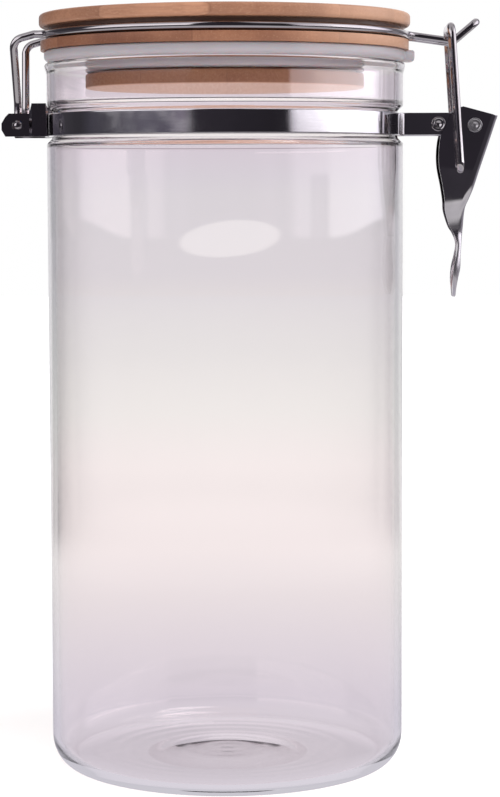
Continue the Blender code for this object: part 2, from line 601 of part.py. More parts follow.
def clasp_lever_mesh():
    """Pressed lever: a deep channel at the pivot that tapers, flattens and swells into a thumb leaf."""
    bm = bmesh.new()
    rings = []
    for free_x, free_z, web_x, web_z, width in LEVER_STATION_shares:
        free_edge = (PIVOT.x + LEVER_DEPTH * free_x, PIVOT.z + LEVER_LENGTH * free_z)
        web = (PIVOT.x + LEVER_DEPTH * web_x, PIVOT.z + LEVER_LENGTH * web_z)
        section = lever_section(free_edge, web, LEVER_OUTER_HALF * width)
        rings.append([bm.verts.new(p) for p in section])
    for ring, following in zip(rings, rings[1:]):
        for i in range(len(ring)):
            j = (i + 1) % len(ring)
            bm.faces.new((ring[i], ring[j], following[j], following[i]))
    bm.faces.new(rings[0])
    bm.faces.new(rings[-1])
    return mesh_from(bm, "clasp_lever")


def rivet_profile(shank, head_start, head, head_radius, eye):
    """Half of a rivet is mirrored: shank, flat head faces with a small round, and a shallow eye."""
    end = head_start + head
    edge = head / 2
    half = [(0, end - eye), (RIVET_EYE_RADIUS, end - eye), (RIVET_EYE_RADIUS, end)]
    half += [(head_radius - edge, end), (head_radius, end - edge), (head_radius, head_start)]
    half += [(shank, head_start)]
    return half + [(r, -y) for r, y in reversed(half)]


def remove_everything():
    """Start from an empty scene."""
    for item in list(bpy.data.objects):
        bpy.data.objects.remove(item, do_unlink=True)


def build():
    remove_everything()
    glass = finish_material("clear_glass", (0.86, 0.87, 0.90), 0.03, 0.0, 0.9)
    bamboo = finish_material("bamboo_lid", (0.60, 0.36, 0.20), 0.45, 0.0)
    bamboo_plug = finish_material("bamboo_plug", (0.52, 0.30, 0.18), 0.5, 0.0)
    silicone = finish_material("clear_silicone", (0.80, 0.78, 0.82), 0.4, 0.0)
    band_steel = finish_material("polished_band", (0.55, 0.55, 0.57), 0.12, 1.0)
    bracket_steel = finish_material("pressed_bracket", (0.42, 0.42, 0.44), 0.2, 1.0)
    lever_steel = finish_material("polished_lever", (0.48, 0.48, 0.50), 0.1, 1.0)
    wire_steel = finish_material("bright_wire", (0.66, 0.66, 0.68), 0.1, 1.0)
    bail_steel = finish_material("bright_bail_wire", (0.64, 0.64, 0.66), 0.1, 1.0)
    rivet_steel = finish_material("rivet_steel", (0.58, 0.58, 0.60), 0.25, 1.0)
    pin_steel = finish_material("pivot_steel", (0.60, 0.60, 0.62), 0.2, 1.0)
    spacer_steel = finish_material("spacer_steel", (0.50, 0.50, 0.52), 0.3, 1.0)

    jar = axis_empty("jar_axis", Vector())
    lid_hinge = axis_empty("lid_hinge_axis", HINGE, jar)
    lever_pivot = axis_empty("lever_pivot_axis", PIVOT, jar)
    bail_pivot = axis_empty("bail_pivot_axis", BAIL_HOLE, lever_pivot)

    add_object("glass_jar", glass_jar_mesh(), jar, glass)
    add_object("lid_disc", lid_disc_mesh(), lid_hinge, bamboo)
    add_object("lid_plug", lid_plug_mesh(), lid_hinge, bamboo_plug)
    gasket = add_object("gasket", gasket_mesh(), lid_hinge, silicone)
    boolean(gasket, pull_tab_mesh(), lid_hinge, "UNION")
    add_object("lid_wire", wire("lid_wire", mirrored_path(lid_wire_half()), WIRE_RADIUS), lid_hinge,
               wire_steel)

    bracket = add_object("hinge_bracket", hinge_bracket_mesh(), jar, bracket_steel)
    for side in (-1, 1):
        collar_at = Vector((HINGE.x, side * (CHEEK_OUTER_HALF + COLLAR_HEIGHT / 2 - CLEARANCE / 2), HINGE.z))
        collar_half = (COLLAR_HEIGHT + CLEARANCE) / 2
        boolean(bracket, rod("collar", COLLAR_RADIUS, collar_half, collar_at, 24), jar, "UNION")
    hinge_bore = rod("hinge_bore", WIRE_RADIUS + CLEARANCE, CHEEK_OUTER_HALF + CUT_OVERRUN, HINGE, 24)
    boolean(bracket, hinge_bore, jar, "DIFFERENCE")

    band = add_object("neck_band", neck_band_mesh(), jar, band_steel)
    tab_rivet_at = Vector((PIVOT.x - TAB_RIVET_BACK, 0, BAND_CENTRE))
    tab_cut_half = TAB_OUTER_HALF + CUT_OVERRUN
    rivet_bore_radius = RIVET_SHANK_RADIUS + CLEARANCE
    boolean(band, rod("tab_bore", rivet_bore_radius, tab_cut_half, tab_rivet_at), jar, "DIFFERENCE")
    boolean(band, rod("pivot_bore", rivet_bore_radius, tab_cut_half, PIVOT), jar, "DIFFERENCE")

    tab_rivet = rivet_profile(RIVET_SHANK_RADIUS, TAB_OUTER_HALF + CLEARANCE, TAB_RIVET_HEAD,
                              RIVET_HEAD_RADIUS, RIVET_EYE_DEPTH)
    add_object("tab_rivet", turned_pin("tab_rivet", tab_rivet, tab_rivet_at), jar, rivet_steel)
    pivot_pin = rivet_profile(RIVET_SHANK_RADIUS, LEVER_OUTER_HALF + CLEARANCE, PIVOT_HEAD,
                              RIVET_HEAD_RADIUS, RIVET_EYE_DEPTH)
    add_object("lever_pivot_pin", turned_pin("lever_pivot_pin", pivot_pin, PIVOT), jar, pin_steel)
    spacer_half = TAB_INNER_HALF - CLEARANCE
    spacer = add_object("tab_spacer", rod("tab_spacer", SPACER_RADIUS, spacer_half, tab_rivet_at), jar,
                        spacer_steel)
    boolean(spacer, rod("spacer_bore", rivet_bore_radius, spacer_half + CUT_OVERRUN, tab_rivet_at), jar,
            "DIFFERENCE")

    lever = add_object("clasp_lever", clasp_lever_mesh(), lever_pivot, lever_steel)
    lever_cut_half = LEVER_OUTER_HALF + CUT_OVERRUN
    boolean(lever, rod("lever_bore", rivet_bore_radius, lever_cut_half, PIVOT), lever_pivot, "DIFFERENCE")
    bail_bore = rod("bail_bore", BAIL_RADIUS + CLEARANCE, lever_cut_half, BAIL_HOLE)
    boolean(lever, bail_bore, lever_pivot, "DIFFERENCE")
    add_object("bail_wire", wire("bail_wire", bail_path(), BAIL_RADIUS), bail_pivot, bail_steel)


build()
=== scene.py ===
# %% [markdown]
# # The looks of a clip-top glass jar
#
# A tall borosilicate jar with a bamboo lid, a silicone gasket and a steel clasp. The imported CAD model
# says where everything is and how it moves. This script gives each part its finish and replaces the
# coarser solids by finer surfaces with the same sizes, so that glass and polished steel reflect cleanly.

# %% Load the frame
import json
import math

import bmesh
import bpy
import numpy as np
from mathutils import Matrix, Vector


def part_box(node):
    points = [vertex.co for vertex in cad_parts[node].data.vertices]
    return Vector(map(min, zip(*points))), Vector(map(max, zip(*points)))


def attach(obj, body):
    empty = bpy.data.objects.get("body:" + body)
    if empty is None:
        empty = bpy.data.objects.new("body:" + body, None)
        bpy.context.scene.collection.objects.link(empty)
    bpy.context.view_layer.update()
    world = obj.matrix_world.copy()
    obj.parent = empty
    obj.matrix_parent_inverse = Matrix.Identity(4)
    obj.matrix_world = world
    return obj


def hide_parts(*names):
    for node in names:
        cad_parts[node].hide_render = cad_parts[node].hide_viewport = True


with open("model.json") as file:
    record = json.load(file)
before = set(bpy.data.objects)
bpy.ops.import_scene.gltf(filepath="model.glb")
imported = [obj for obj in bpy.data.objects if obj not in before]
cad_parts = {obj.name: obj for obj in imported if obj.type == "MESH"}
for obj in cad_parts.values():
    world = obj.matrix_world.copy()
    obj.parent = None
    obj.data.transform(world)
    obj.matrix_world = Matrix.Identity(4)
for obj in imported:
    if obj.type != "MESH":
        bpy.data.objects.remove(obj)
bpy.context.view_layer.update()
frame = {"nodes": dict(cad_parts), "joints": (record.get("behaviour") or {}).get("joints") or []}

# %% [markdown]
# ## Where things are
#
# The jar's axis and its main heights are read from the boxes of the CAD solids, so the new surfaces
# stay where the solids are. Only the small shapes, such as a bend's radius, are given here again.

# %% Sizes
MM = 0.001

glass_low, glass_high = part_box("glass_jar")
disc_low, disc_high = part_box("lid_disc")
plug_low, plug_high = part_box("lid_plug")
gasket_low, gasket_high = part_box("gasket")
band_low, band_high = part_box("neck_band")
wire_low, wire_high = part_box("lid_wire")
bail_low, bail_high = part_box("bail_wire")

AXIS_X = (glass_low.x + glass_high.x) / 2
RIM_RADIUS = (glass_high.x - glass_low.x) / 2
RIM_FLARE = 0.6 * MM
GLASS_RADIUS = RIM_RADIUS - RIM_FLARE
GLASS_HEIGHT = glass_high.z
GLASS_WALL = 2.2 * MM
MOUTH_RADIUS = RIM_RADIUS - GLASS_WALL
LID_RADIUS = (disc_high.x - disc_low.x) / 2
LID_BOTTOM = disc_low.z
LID_TOP = disc_high.z
PLUG_RADIUS = (plug_high.x - plug_low.x) / 2
PLUG_BOTTOM = plug_low.z
BAND_BOTTOM = band_low.z
BAND_TOP = band_high.z
WIRE_RADIUS = 1.15 * MM
BAIL_RADIUS = 1.2 * MM
joint_place = {joint["name"]: joint["pos_m"] for joint in frame["joints"]}
HINGE_X, _, HINGE_Z = joint_place["lid_hinge"]
PIVOT_X, _, PIVOT_Z = joint_place["lever_pivot"]
HOLE_X, _, HOLE_Z = joint_place["bail_pivot"]


def add_object(name, data):
    """A new object in the scene."""
    made = bpy.data.objects.new(name, data)
    bpy.context.scene.collection.objects.link(made)
    return made


print("jar radius and height in mm:", round(GLASS_RADIUS * 1000, 2), round(GLASS_HEIGHT * 1000, 2))
wire_heights = (wire_low.z, wire_high.z, bail_low.z, bail_high.z)
print("lid wire and bail, lowest and highest in mm:", [round(z * 1000, 1) for z in wire_heights])

# %% [markdown]
# ## The camera
#
# The photograph was taken with a long lens, a little above the middle of the jar and slightly to the
# clasp's side. The camera looks down a few degrees, so the lid's rim shows from below its top edge.

# %% Camera
CAMERA_DISTANCE = 713.5 * MM
CAMERA_SIDE = math.radians(2.0)
CAMERA_HEIGHT = 172.7 * MM
CAMERA_TURN = math.radians(0.571)
CAMERA_PITCH = math.radians(5.1)
CAMERA_ROLL = math.radians(-0.19)

camera_data = bpy.data.cameras.new("photo_camera")
camera_data.lens = 108.4
camera_data.sensor_width = 36
camera = add_object("photo_camera", camera_data)
camera.location = (AXIS_X + CAMERA_DISTANCE * math.sin(CAMERA_SIDE),
                   -CAMERA_DISTANCE * math.cos(CAMERA_SIDE), CAMERA_HEIGHT)
heading = Matrix.Rotation(CAMERA_SIDE - CAMERA_TURN, 3, "Z")
tilt = Matrix.Rotation(math.pi / 2 - CAMERA_PITCH, 3, "X")
roll = Matrix.Rotation(CAMERA_ROLL, 3, "Z")
camera.rotation_euler = (heading @ tilt @ roll).to_euler()
bpy.context.scene.camera = camera
print("camera at", tuple(round(value, 3) for value in camera.location))

# %% [markdown]
# ## Small helpers for node trees
#
# A material is a tree of nodes. These helpers add a node to the tree that its inputs come from, and
# link an output to each input or set the input's own number. Each finish then reads as a list of steps.

# %% Node helpers
def add_node(tree, kind, **settings):
    """Add a node of one kind, to the right of the last one, with its options set."""
    made = tree.nodes.new(kind)
    made.location = (180 * len(tree.nodes), 0)
    for option, value in settings.items():
        setattr(made, option, value)
    return made


def feed(socket, value):
    """Link an output to a socket, or set the socket's own value."""
    if isinstance(value, bpy.types.NodeSocket):
        socket.id_data.links.new(value, socket)
    elif value is not None:
        socket.default_value = value


def set_inputs(node, **values):
    """Feed a node's inputs by name, with _ for a space."""
    for label, value in values.items():
        feed(node.inputs[label.replace("_", " ")], value)


def fed_node(kind, *values, **settings):
    """A node with values for its inputs in their order, in the tree that an output among them is in."""
    tree = next(value.id_data for value in values if isinstance(value, bpy.types.NodeSocket))
    made = add_node(tree, kind, **settings)
    for socket, value in zip(made.inputs, values):
        feed(socket, value)
    return made


def math_node(operation, *numbers):
    """One sum, product or function of numbers."""
    return fed_node("ShaderNodeMath", *numbers, operation=operation).outputs[0]


def product(first, *others):
    """Numbers multiplied together."""
    for other in others:
        first = math_node("MULTIPLY", first, other)
    return first


def mix_colours(factor, first, second, blend="MIX"):
    """Blend two colours by a factor. The node's five inputs between are for other kinds of data."""
    values = (factor, *(None,) * 5, first, second)
    return fed_node("ShaderNodeMix", *values, data_type="RGBA", blend_type=blend).outputs[2]


def spread(value, low, high, new_low=0.0, new_high=1.0):
    """Map a range of numbers smoothly onto another one."""
    values = (value, low, high, new_low, new_high)
    return fed_node("ShaderNodeMapRange", *values, interpolation_type="SMOOTHSTEP").outputs[0]


def falling(value, low, high, top=1.0):
    """The number top up to low, 0 from high on, and smooth between."""
    return spread(value, low, high, top, 0.0)


def between(value, rise_start, rise_end, fall_start, fall_end):
    """1 in the middle of a range, 0 outside it, with two soft edges."""
    rise = spread(value, rise_start, rise_end)
    return product(rise, falling(value, fall_start, fall_end))


def split_vector(vector):
    """The x, y and z of a place or a direction."""
    return fed_node("ShaderNodeSeparateXYZ", vector).outputs


def mix_shaders(factor, first, second):
    """Blend two shaders by a factor."""
    return fed_node("ShaderNodeMixShader", factor, first, second).outputs[0]


def noise(vector, scale, detail=2.0, stretch=None):
    """Soft random values; a stretch makes them run longer along some axes."""
    if stretch is not None:
        vector = fed_node("ShaderNodeMapping", vector, None, None, stretch).outputs[0]
    return fed_node("ShaderNodeTexNoise", vector, None, scale, detail).outputs[0]


def new_group(name, inputs):
    """A node group with named inputs that gives out a colour, a roughness and a height."""
    tree = bpy.data.node_groups.new(name, "ShaderNodeTree")
    outputs = (("Color", "Color"), ("Roughness", "Float"), ("Height", "Float"))
    for side, sockets in (("INPUT", inputs), ("OUTPUT", outputs)):
        for label, kind in sockets:
            tree.interface.new_socket(label, in_out=side, socket_type="NodeSocket" + kind)
    return tree, add_node(tree, "NodeGroupInput").outputs


def use_group(group, **values):
    """Place a group in the tree that its Place comes from and feed its inputs by name."""
    made = add_node(values["Place"].id_data, "ShaderNodeGroup", node_tree=group)
    set_inputs(made, **values)
    return made.outputs


print("node helpers are ready")

# %% [markdown]
# ## Studio
#
# Polished steel and glass show their surroundings more than themselves, so the studio matters most.
# Mirrors see a ring of cards round the jar: a dark camera side, a grey wall at the left, a large white
# card at the right and a white background, with black flags between background and sides.
# Rays that only passed through the glass see a backdrop that dims a little beside the jar's back, which
# draws the soft dark lines at the edges of the glass. Rays mirrored inside the glass see the cards,
# except straight behind the jar. The camera itself sees plain white.

# %% Studio cards
world = bpy.data.worlds.new("soft_studio")
bpy.context.scene.world = world
world.use_nodes = True
sky = world.node_tree
sky.nodes.clear()

# Degrees round the jar from the camera's side, positive to the right, then red, green and blue
CARDS = (
    (-180, 1.0, 0.98, 1.0), (-156, 0.9, 0.88, 0.9), (-148, 0.14, 0.135, 0.15),
    (-128, 0.06, 0.055, 0.065), (-105, 0.045, 0.042, 0.05), (-92, 0.07, 0.065, 0.085),
    (-80, 0.055, 0.052, 0.068), (-50, 0.135, 0.125, 0.16), (-36, 0.11, 0.1, 0.135),
    (-25, 0.22, 0.19, 0.245), (-19, 0.04, 0.035, 0.045), (32, 0.025, 0.022, 0.028),
    (43, 0.03, 0.027, 0.033), (49, 0.85, 0.8, 0.87), (70, 1.3, 1.25, 1.3),
    (76, 1.9, 1.85, 1.9), (104, 1.9, 1.85, 1.95), (120, 1.5, 1.44, 1.6),
    (130, 0.3, 0.29, 0.33), (148, 0.2, 0.19, 0.21), (156, 0.9, 0.88, 0.9),
    (180, 1.0, 0.98, 1.0))
# What mirrors see below the cards, by the same angle
LOW_CARDS = (
    (-180, 0.95, 0.93, 0.95), (-154, 0.85, 0.83, 0.86), (-147, 0.2, 0.19, 0.21),
    (-120, 0.1, 0.095, 0.11), (0, 0.05, 0.045, 0.055), (75, 0.06, 0.055, 0.065),
    (105, 0.35, 0.33, 0.37), (148, 0.4, 0.38, 0.42), (156, 0.85, 0.83, 0.86),
    (180, 0.95, 0.93, 0.95))
# The backdrop by the sine of the height angle, and the floor by its distance from the origin in m
BACKDROP = (
    (-0.046, 0.86, 0.87, 0.89), (-0.037, 0.82, 0.83, 0.87), (-0.0045, 0.8, 0.815, 0.86),
    (0.0035, 0.78, 0.785, 0.85), (0.014, 0.77, 0.75, 0.83), (0.1, 0.75, 0.7, 0.78),
    (0.22, 0.3, 0.27, 0.31))
# Through the glass the floor is greyer close to the jar: a painted shadow of the jar
FLOOR_GLOW = (
    (0.0, 0.76, 0.75, 0.81), (0.04, 0.71, 0.7, 0.77), (0.09, 0.67, 0.65, 0.73),
    (0.16, 0.74, 0.72, 0.78), (0.29, 0.83, 0.81, 0.83), (0.42, 0.97, 0.95, 0.95),
    (0.75, 1.06, 1.05, 1.04), (1.1, 1.0, 1.03, 1.01), (1.75, 0.92, 0.95, 0.95),
    (3.0, 0.86, 0.88, 0.91))
# How bright the backdrop is by the angle in degrees from straight behind, positive to the right
SIDE_SHADE = (
    (-180, 0.95), (-75, 0.95), (-36, 0.62), (-18, 0.82), (-13, 0.93), (-9, 1.0),
    (6, 1.0), (10, 0.9), (13, 0.8), (20, 0.75), (36, 0.7), (75, 0.95), (180, 0.95))
print("studio cards:", len(CARDS), "and below them:", len(LOW_CARDS))

# %% Ramps and angles
def colour_ramp(value, stops):
    """Colours at given values, straight in between, from the first value to the last."""
    low, high = stops[0][0], stops[-1][0]
    share = product(math_node("SUBTRACT", value, low), 1 / (high - low))
    ramp = fed_node("ShaderNodeValToRGB", share)
    while len(ramp.color_ramp.elements) < len(stops):
        ramp.color_ramp.elements.new(0.5)
    for element, (number, *colour) in zip(ramp.color_ramp.elements, stops):
        element.position = (number - low) / (high - low)
        element.color = (*colour, 1)
    return ramp.outputs[0]


def angle_round(x, y):
    """The angle round the jar: 0 towards the camera, positive to the right, pi straight behind."""
    return math_node("ARCTAN2", x, product(y, -1.0))


def studio_ramp(angle, stops):
    """The colours at angles round the jar, which are given in degrees."""
    return colour_ramp(angle, [(math.radians(degrees), *colour) for degrees, *colour in stops])


def side_shade(x, y):
    """1 behind the jar, dimmer beside that, most at 36 degrees to the left, and bright again in front."""
    stops = [(degrees, shade, shade, shade) for degrees, shade in SIDE_SHADE]
    return studio_ramp(math_node("ARCTAN2", x, y), stops)


# The angles from the front, either way, between which the backdrop takes over from the cards
BACKDROP_START = 2.35
BACKDROP_FULL = 2.5


def seen_straight(light_path, angle):
    """1 for rays that no mirror has turned and for all rays towards the back, else 0."""
    unturned = math_node("LESS_THAN", light_path["Glossy Depth"], 0.5)
    at_back = spread(math_node("ABSOLUTE", angle), BACKDROP_START, BACKDROP_FULL)
    return math_node("MAXIMUM", unturned, at_back)


print("ramps and angles are ready")

# %% What mirrors see
direction = add_node(sky, "ShaderNodeTexCoord").outputs["Generated"]
ray_x, ray_y, ray_z = split_vector(direction)
azimuth = angle_round(ray_x, ray_y)
studio = studio_ramp(azimuth, CARDS)
left_box = product(between(azimuth, -1.7, -1.5, -0.36, -0.31), spread(ray_z, 0.044, 0.052))

# A bright strip across the right card, and something dark that stands before the card's lower part
strip = product(between(azimuth, 0.75, 0.79, 1.9, 2.1),
                between(ray_z, 0.032, 0.037, 0.062, 0.068))
strip_light = mix_colours(spread(azimuth, 0.8, 1.3), (2.3, 2.2, 2.35, 1), (4.3, 4.15, 4.4, 1))
stand = product(between(azimuth, 1.0, 1.03, 1.24, 1.27), falling(ray_z, 0.003, 0.006))
from_front = math_node("ABSOLUTE", azimuth)
ceiling = product(spread(ray_z, 0.55, 0.8), spread(from_front, 0.25, 0.6))
card_edge = math_node("SUBTRACT", ray_z, spread(azimuth, 1.3, 2.2, 0.0, 0.008))
below = falling(card_edge, -0.0235, -0.0205)
for mask, colour in ((left_box, (1.5, 1.45, 1.5, 1)), (strip, strip_light), (stand, (0.3, 0.28, 0.33, 1)),
                     (ceiling, (0.6, 0.58, 0.6, 1)), (below, studio_ramp(azimuth, LOW_CARDS))):
    studio = mix_colours(mask, studio, colour)

# A low white board in front of the jar, which only reflections without any roughness show
BOARD_HEIGHT = -0.023
BOARD_SLOPE = 0.0036
BOARD_HALF_HEIGHT = 0.0076
BOARD_ANGLE = 0.084
BOARD_HALF_ANGLE = math.radians(33)
board_middle = math_node("ADD", product(azimuth, BOARD_SLOPE), BOARD_HEIGHT)
board_up = product(math_node("SUBTRACT", ray_z, board_middle), 1 / BOARD_HALF_HEIGHT)
board_across = product(math_node("SUBTRACT", azimuth, BOARD_ANGLE), 1 / BOARD_HALF_ANGLE)
board_up = product(board_up, board_up)
board_away = math_node("ADD", board_up, product(board_across, board_across))
light_path = add_node(sky, "ShaderNodeLightPath").outputs
board_mask = product(falling(board_away, 0.75, 1.1), light_path["Is Singular Ray"])
mirror_view = mix_colours(board_mask, studio, (3.5, 3.4, 3.1, 1))

print("what mirrors see takes", len(sky.nodes), "nodes")

# %% What is seen through the glass
# What comes through the glass from behind is the backdrop; what the glass mirrors inside is the studio
backdrop = colour_ramp(ray_z, BACKDROP)
backdrop = mix_colours(1.0, backdrop, side_shade(ray_x, ray_y), "MULTIPLY")
high = spread(ray_z, 0.15, 0.35, 0.0, 0.9)
inner_view = mix_colours(high, studio, (0.5, 0.48, 0.53, 1))
inner_view = mix_colours(seen_straight(light_path, azimuth), inner_view, backdrop)
soft_light = spread(ray_x, -1.0, 1.0, 0.45, 1.35)
soft_light = fed_node("ShaderNodeCombineColor", soft_light, soft_light, soft_light).outputs[0]

shown = mirror_view
for kind, view in (("Diffuse", soft_light), ("Transmission", inner_view),
                   ("Camera", (1.0, 1.0, 1.0, 1))):
    shown = mix_colours(light_path["Is " + kind + " Ray"], shown, view)
background = fed_node("ShaderNodeBackground", shown)
fed_node("ShaderNodeOutputWorld", background.outputs[0])
print("the whole studio has", len(sky.nodes), "nodes")

# %% [markdown]
# ## Floor and light
#
# The camera sees a white floor with a soft shadow. Mirrors see a white table top round the jar and,
# further out, what lies below the cards. Through the glass the floor is white behind the jar and
# greyer close to it, a painted shadow of the jar.

# %% Floor and top light
FLOOR_HALF = 3.0
SHADE_FROM = 0.3
floor_mesh = bpy.data.meshes.new("floor")
floor_corners = [(x * FLOOR_HALF, y * FLOOR_HALF, 0) for x, y in ((-1, -1), (1, -1), (1, 1), (-1, 1))]
floor_mesh.from_pydata(floor_corners, [], [(0, 1, 2, 3)])
floor = add_object("floor", floor_mesh)

floor_material = bpy.data.materials.new("pale_floor")
floor_material.use_nodes = True
tree = floor_material.node_tree
tree.nodes.clear()
floor_place = add_node(tree, "ShaderNodeTexCoord").outputs["Object"]
floor_x, floor_y, _ = split_vector(floor_place)
distance = fed_node("ShaderNodeVectorMath", floor_place, operation="LENGTH").outputs["Value"]
glow = colour_ramp(distance, FLOOR_GLOW)
# The shade is as the backdrop's, seen from SHADE_FROM in front of the jar, and only away from the jar
shade = side_shade(floor_x, math_node("ADD", floor_y, SHADE_FROM))
glow = mix_colours(spread(distance, 0.12, 0.7), glow, shade, "MULTIPLY")
floor_angle = angle_round(floor_x, floor_y)
low_view = studio_ramp(floor_angle, LOW_CARDS)
low_view = mix_colours(falling(distance, 0.4, 0.55, 0.8), low_view, glow)
light_path = add_node(tree, "ShaderNodeLightPath").outputs
through_glass = light_path["Is Transmission Ray"]
straight = math_node("MAXIMUM", seen_straight(light_path, floor_angle),
                     falling(distance, 0.3, 0.6))
glass_view = mix_colours(straight, low_view, glow)
plain = add_node(tree, "ShaderNodeBsdfDiffuse")
set_inputs(plain, Color=(1.0, 1.0, 1.0, 1))
shining = fed_node("ShaderNodeEmission", mix_colours(through_glass, low_view, glass_view))
by_glass_or_steel = math_node("MAXIMUM", light_path["Is Glossy Ray"], through_glass)
floor_blend = mix_shaders(by_glass_or_steel, plain.outputs[0], shining.outputs[0])
fed_node("ShaderNodeOutputMaterial", floor_blend)
floor_mesh.materials.append(floor_material)

sun_data = bpy.data.lights.new("soft_top_light", "SUN")
sun_data.energy = 1.56
sun_data.angle = math.radians(35)
sun = add_object("soft_top_light", sun_data)
sun.rotation_euler = Vector((-0.35, 0.3, -1.0)).to_track_quat("-Z", "Y").to_euler()
sun.visible_glossy = False
bpy.context.scene.view_settings.view_transform = "Standard"
print("floor is", 2 * FLOOR_HALF, "m wide")

# %% [markdown]
# ## From numbers to a mesh
#
# Every new piece is a grid of points: one direction follows a profile, the other goes round or along.
# The grid comes out of numpy as whole arrays. This helper joins neighbouring points with quads, closes
# seams and poles by merging the points that coincide there, and turns all faces outwards.

# %% Grid to mesh
MERGE_WITHIN = 0.001 * MM


def smooth_step(low, high, value):
    """0 below low, 1 above high and 3t^2 - 2t^3 between, for a number or an array."""
    t = np.clip((value - low) / (high - low), 0, 1)
    return t * t * (3 - 2 * t)


def surface(name, points, wrap_rows=False, sharp=40):
    """A mesh object from a grid of points with shape (rows, columns, 3), whose columns close a ring."""
    rows, columns = points.shape[:2]
    number = np.arange(rows * columns).reshape(rows, columns)
    if wrap_rows:
        number = np.vstack((number, number[:1]))
    number = np.hstack((number, number[:, :1]))
    quads = np.stack((number[:-1, :-1], number[1:, :-1], number[1:, 1:], number[:-1, 1:]), axis=-1)
    mesh = bpy.data.meshes.new(name)
    mesh.from_pydata(points.reshape(-1, 3), [], quads.reshape(-1, 4).tolist())
    bm = bmesh.new()
    bm.from_mesh(mesh)
    bmesh.ops.remove_doubles(bm, verts=bm.verts, dist=MERGE_WITHIN)
    bmesh.ops.recalc_face_normals(bm, faces=bm.faces)
    bm.to_mesh(mesh)
    bm.free()
    mesh.shade_smooth()
    mesh.set_sharp_from_angle(angle=math.radians(sharp))
    print(name, "has", len(mesh.polygons), "faces")
    return add_object(name, mesh)


print("points closer than", MERGE_WITHIN * 1000, "mm become one")

# %% Profiles and places
def unit(vectors):
    """Vectors divided by their lengths."""
    return vectors / np.linalg.norm(vectors, axis=-1, keepdims=True)


def turned(radius, angles, height):
    """Points round the jar's axis: x is r cos a and y is r sin a, and z stays."""
    return np.stack((AXIS_X + radius * np.cos(angles), radius * np.sin(angles), height), axis=-1)


def hold_flats(points, gap=0.1 * MM, long_run=3.5 * MM):
    """Add a point close to both ends of every long run, so that smooth shading stays even on it."""
    start, end = points[:-1], points[1:]
    length = np.linalg.norm(end - start, axis=1, keepdims=True)
    step = (end - start) * gap / np.maximum(length, gap)
    trio = np.stack((start, start + step, end - step), axis=1)
    keep = np.column_stack((np.ones(len(start), bool), length > long_run, length > long_run))
    return np.vstack((trio[keep], points[-1:]))


def arc(centre, radius, start, end, count=8):
    """Points on a circle: centre plus radius times (cosine, sine) of evenly spread angles in degrees."""
    angles = np.radians(np.linspace(start, end, count))
    return np.column_stack((centre[0] + radius * np.cos(angles), centre[1] + radius * np.sin(angles)))


def level_run(start, end, height, count):
    """Points of a profile at one height, spread evenly from one radius to another."""
    return np.column_stack((np.linspace(start, end, count), np.full(count, height)))


def revolve(profile, steps=144):
    """Carry a profile of (radius, height) round the jar's axis by evenly spread angles."""
    profile = hold_flats(profile)
    angles = np.linspace(0, math.tau, steps, endpoint=False)
    return turned(profile[:, :1], angles, np.repeat(profile[:, 1:], steps, axis=1))


def place_piece(piece, body, replaced, material):
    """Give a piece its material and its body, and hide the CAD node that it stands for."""
    piece.data.materials.clear()
    piece.data.materials.append(material)
    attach(piece, body)
    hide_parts(replaced)


print("mesh helpers are ready")

# %% [markdown]
# ## Glass
#
# Blown borosilicate glass is nearly colourless. What shows it is the bend of light at its walls, the
# reflections, and a slight waviness. A Principled shader with full transmission does this, provided
# that the jar is one closed wall with a real thickness. Light that only brightens other things passes
# straight through, because bent light would leave a dark shadow on the floor and inside the jar.

# %% Glass material
def new_material(name):
    """A material, its Principled shader and its Object coordinates."""
    material = bpy.data.materials.new(name)
    material.use_nodes = True
    tree = material.node_tree
    place = add_node(tree, "ShaderNodeTexCoord").outputs["Object"]
    return material, tree.nodes["Principled BSDF"], place


def bump(shader, height, strength, distance):
    """Tilt the shading normal by a height."""
    made = add_node(shader.id_data, "ShaderNodeBump")
    set_inputs(made, Strength=strength, Distance=distance, Height=height)
    feed(shader.inputs["Normal"], made.outputs[0])


glass_material, shader, place = new_material("borosilicate_glass")
tree = glass_material.node_tree
tint = mix_colours(noise(place, 14, 1), (0.995, 0.95, 0.95, 1), (1.0, 0.965, 0.962, 1))
set_inputs(shader, Transmission_Weight=1.0, IOR=1.47, Roughness=0.0, Base_Color=tint)
bump(shader, noise(place, 22, 1, (1, 1, 0.35)), 0.35, 0.0002)
light_path = add_node(tree, "ShaderNodeLightPath").outputs
soft_ray = math_node("MAXIMUM", light_path["Is Shadow Ray"], light_path["Is Diffuse Ray"])
clear = add_node(tree, "ShaderNodeBsdfTransparent")
set_inputs(clear, Color=(0.96, 0.94, 0.94, 1))
let_through = mix_shaders(soft_ray, shader.outputs[0], clear.outputs[0])
feed(tree.nodes["Material Output"].inputs["Surface"], let_through)
print("glass material:", glass_material.name)

# %% [markdown]
# ## The jar
#
# The wall is one closed profile: up the outside, over the fire-polished rim and down the inside. The
# neck is drawn in where the steel band lies. The base has a wide round corner and a shallow punt, and
# the mould leaves faint rings on the floor inside, a few hundredths of a millimetre deep. A Screw
# modifier could turn the profile too, but rows that are worked out lie closest where the glass bends.

# %% Jar surface
BASE_THICKNESS = 3.0 * MM
CORNER_REACH = 7.0 * MM
CORNER_HEIGHT = 9.0 * MM
PUNT_TOP_RADIUS = 8.0 * MM
PUNT_FOOT_RADIUS = 24.0 * MM
PUNT_RISE = 1.0 * MM
PUNT_INNER_RISE = 0.6 * MM
RING_DEPTH = 0.02 * MM
RING_SPACING = 5.5 * MM
RIM_FLARE_HEIGHT = 3.2 * MM
RIM_ROUND = 1.05 * MM
SHOULDER_HEIGHT = 2.4 * MM
NECK_INNER_EASE = 0.7 * MM
BAND_RECESS = 0.5 * MM
BAND_THICKNESS = 0.8 * MM
CLEARANCE = 0.3 * MM
NECK_GROOVE_DEPTH = BAND_RECESS + BAND_THICKNESS + CLEARANCE


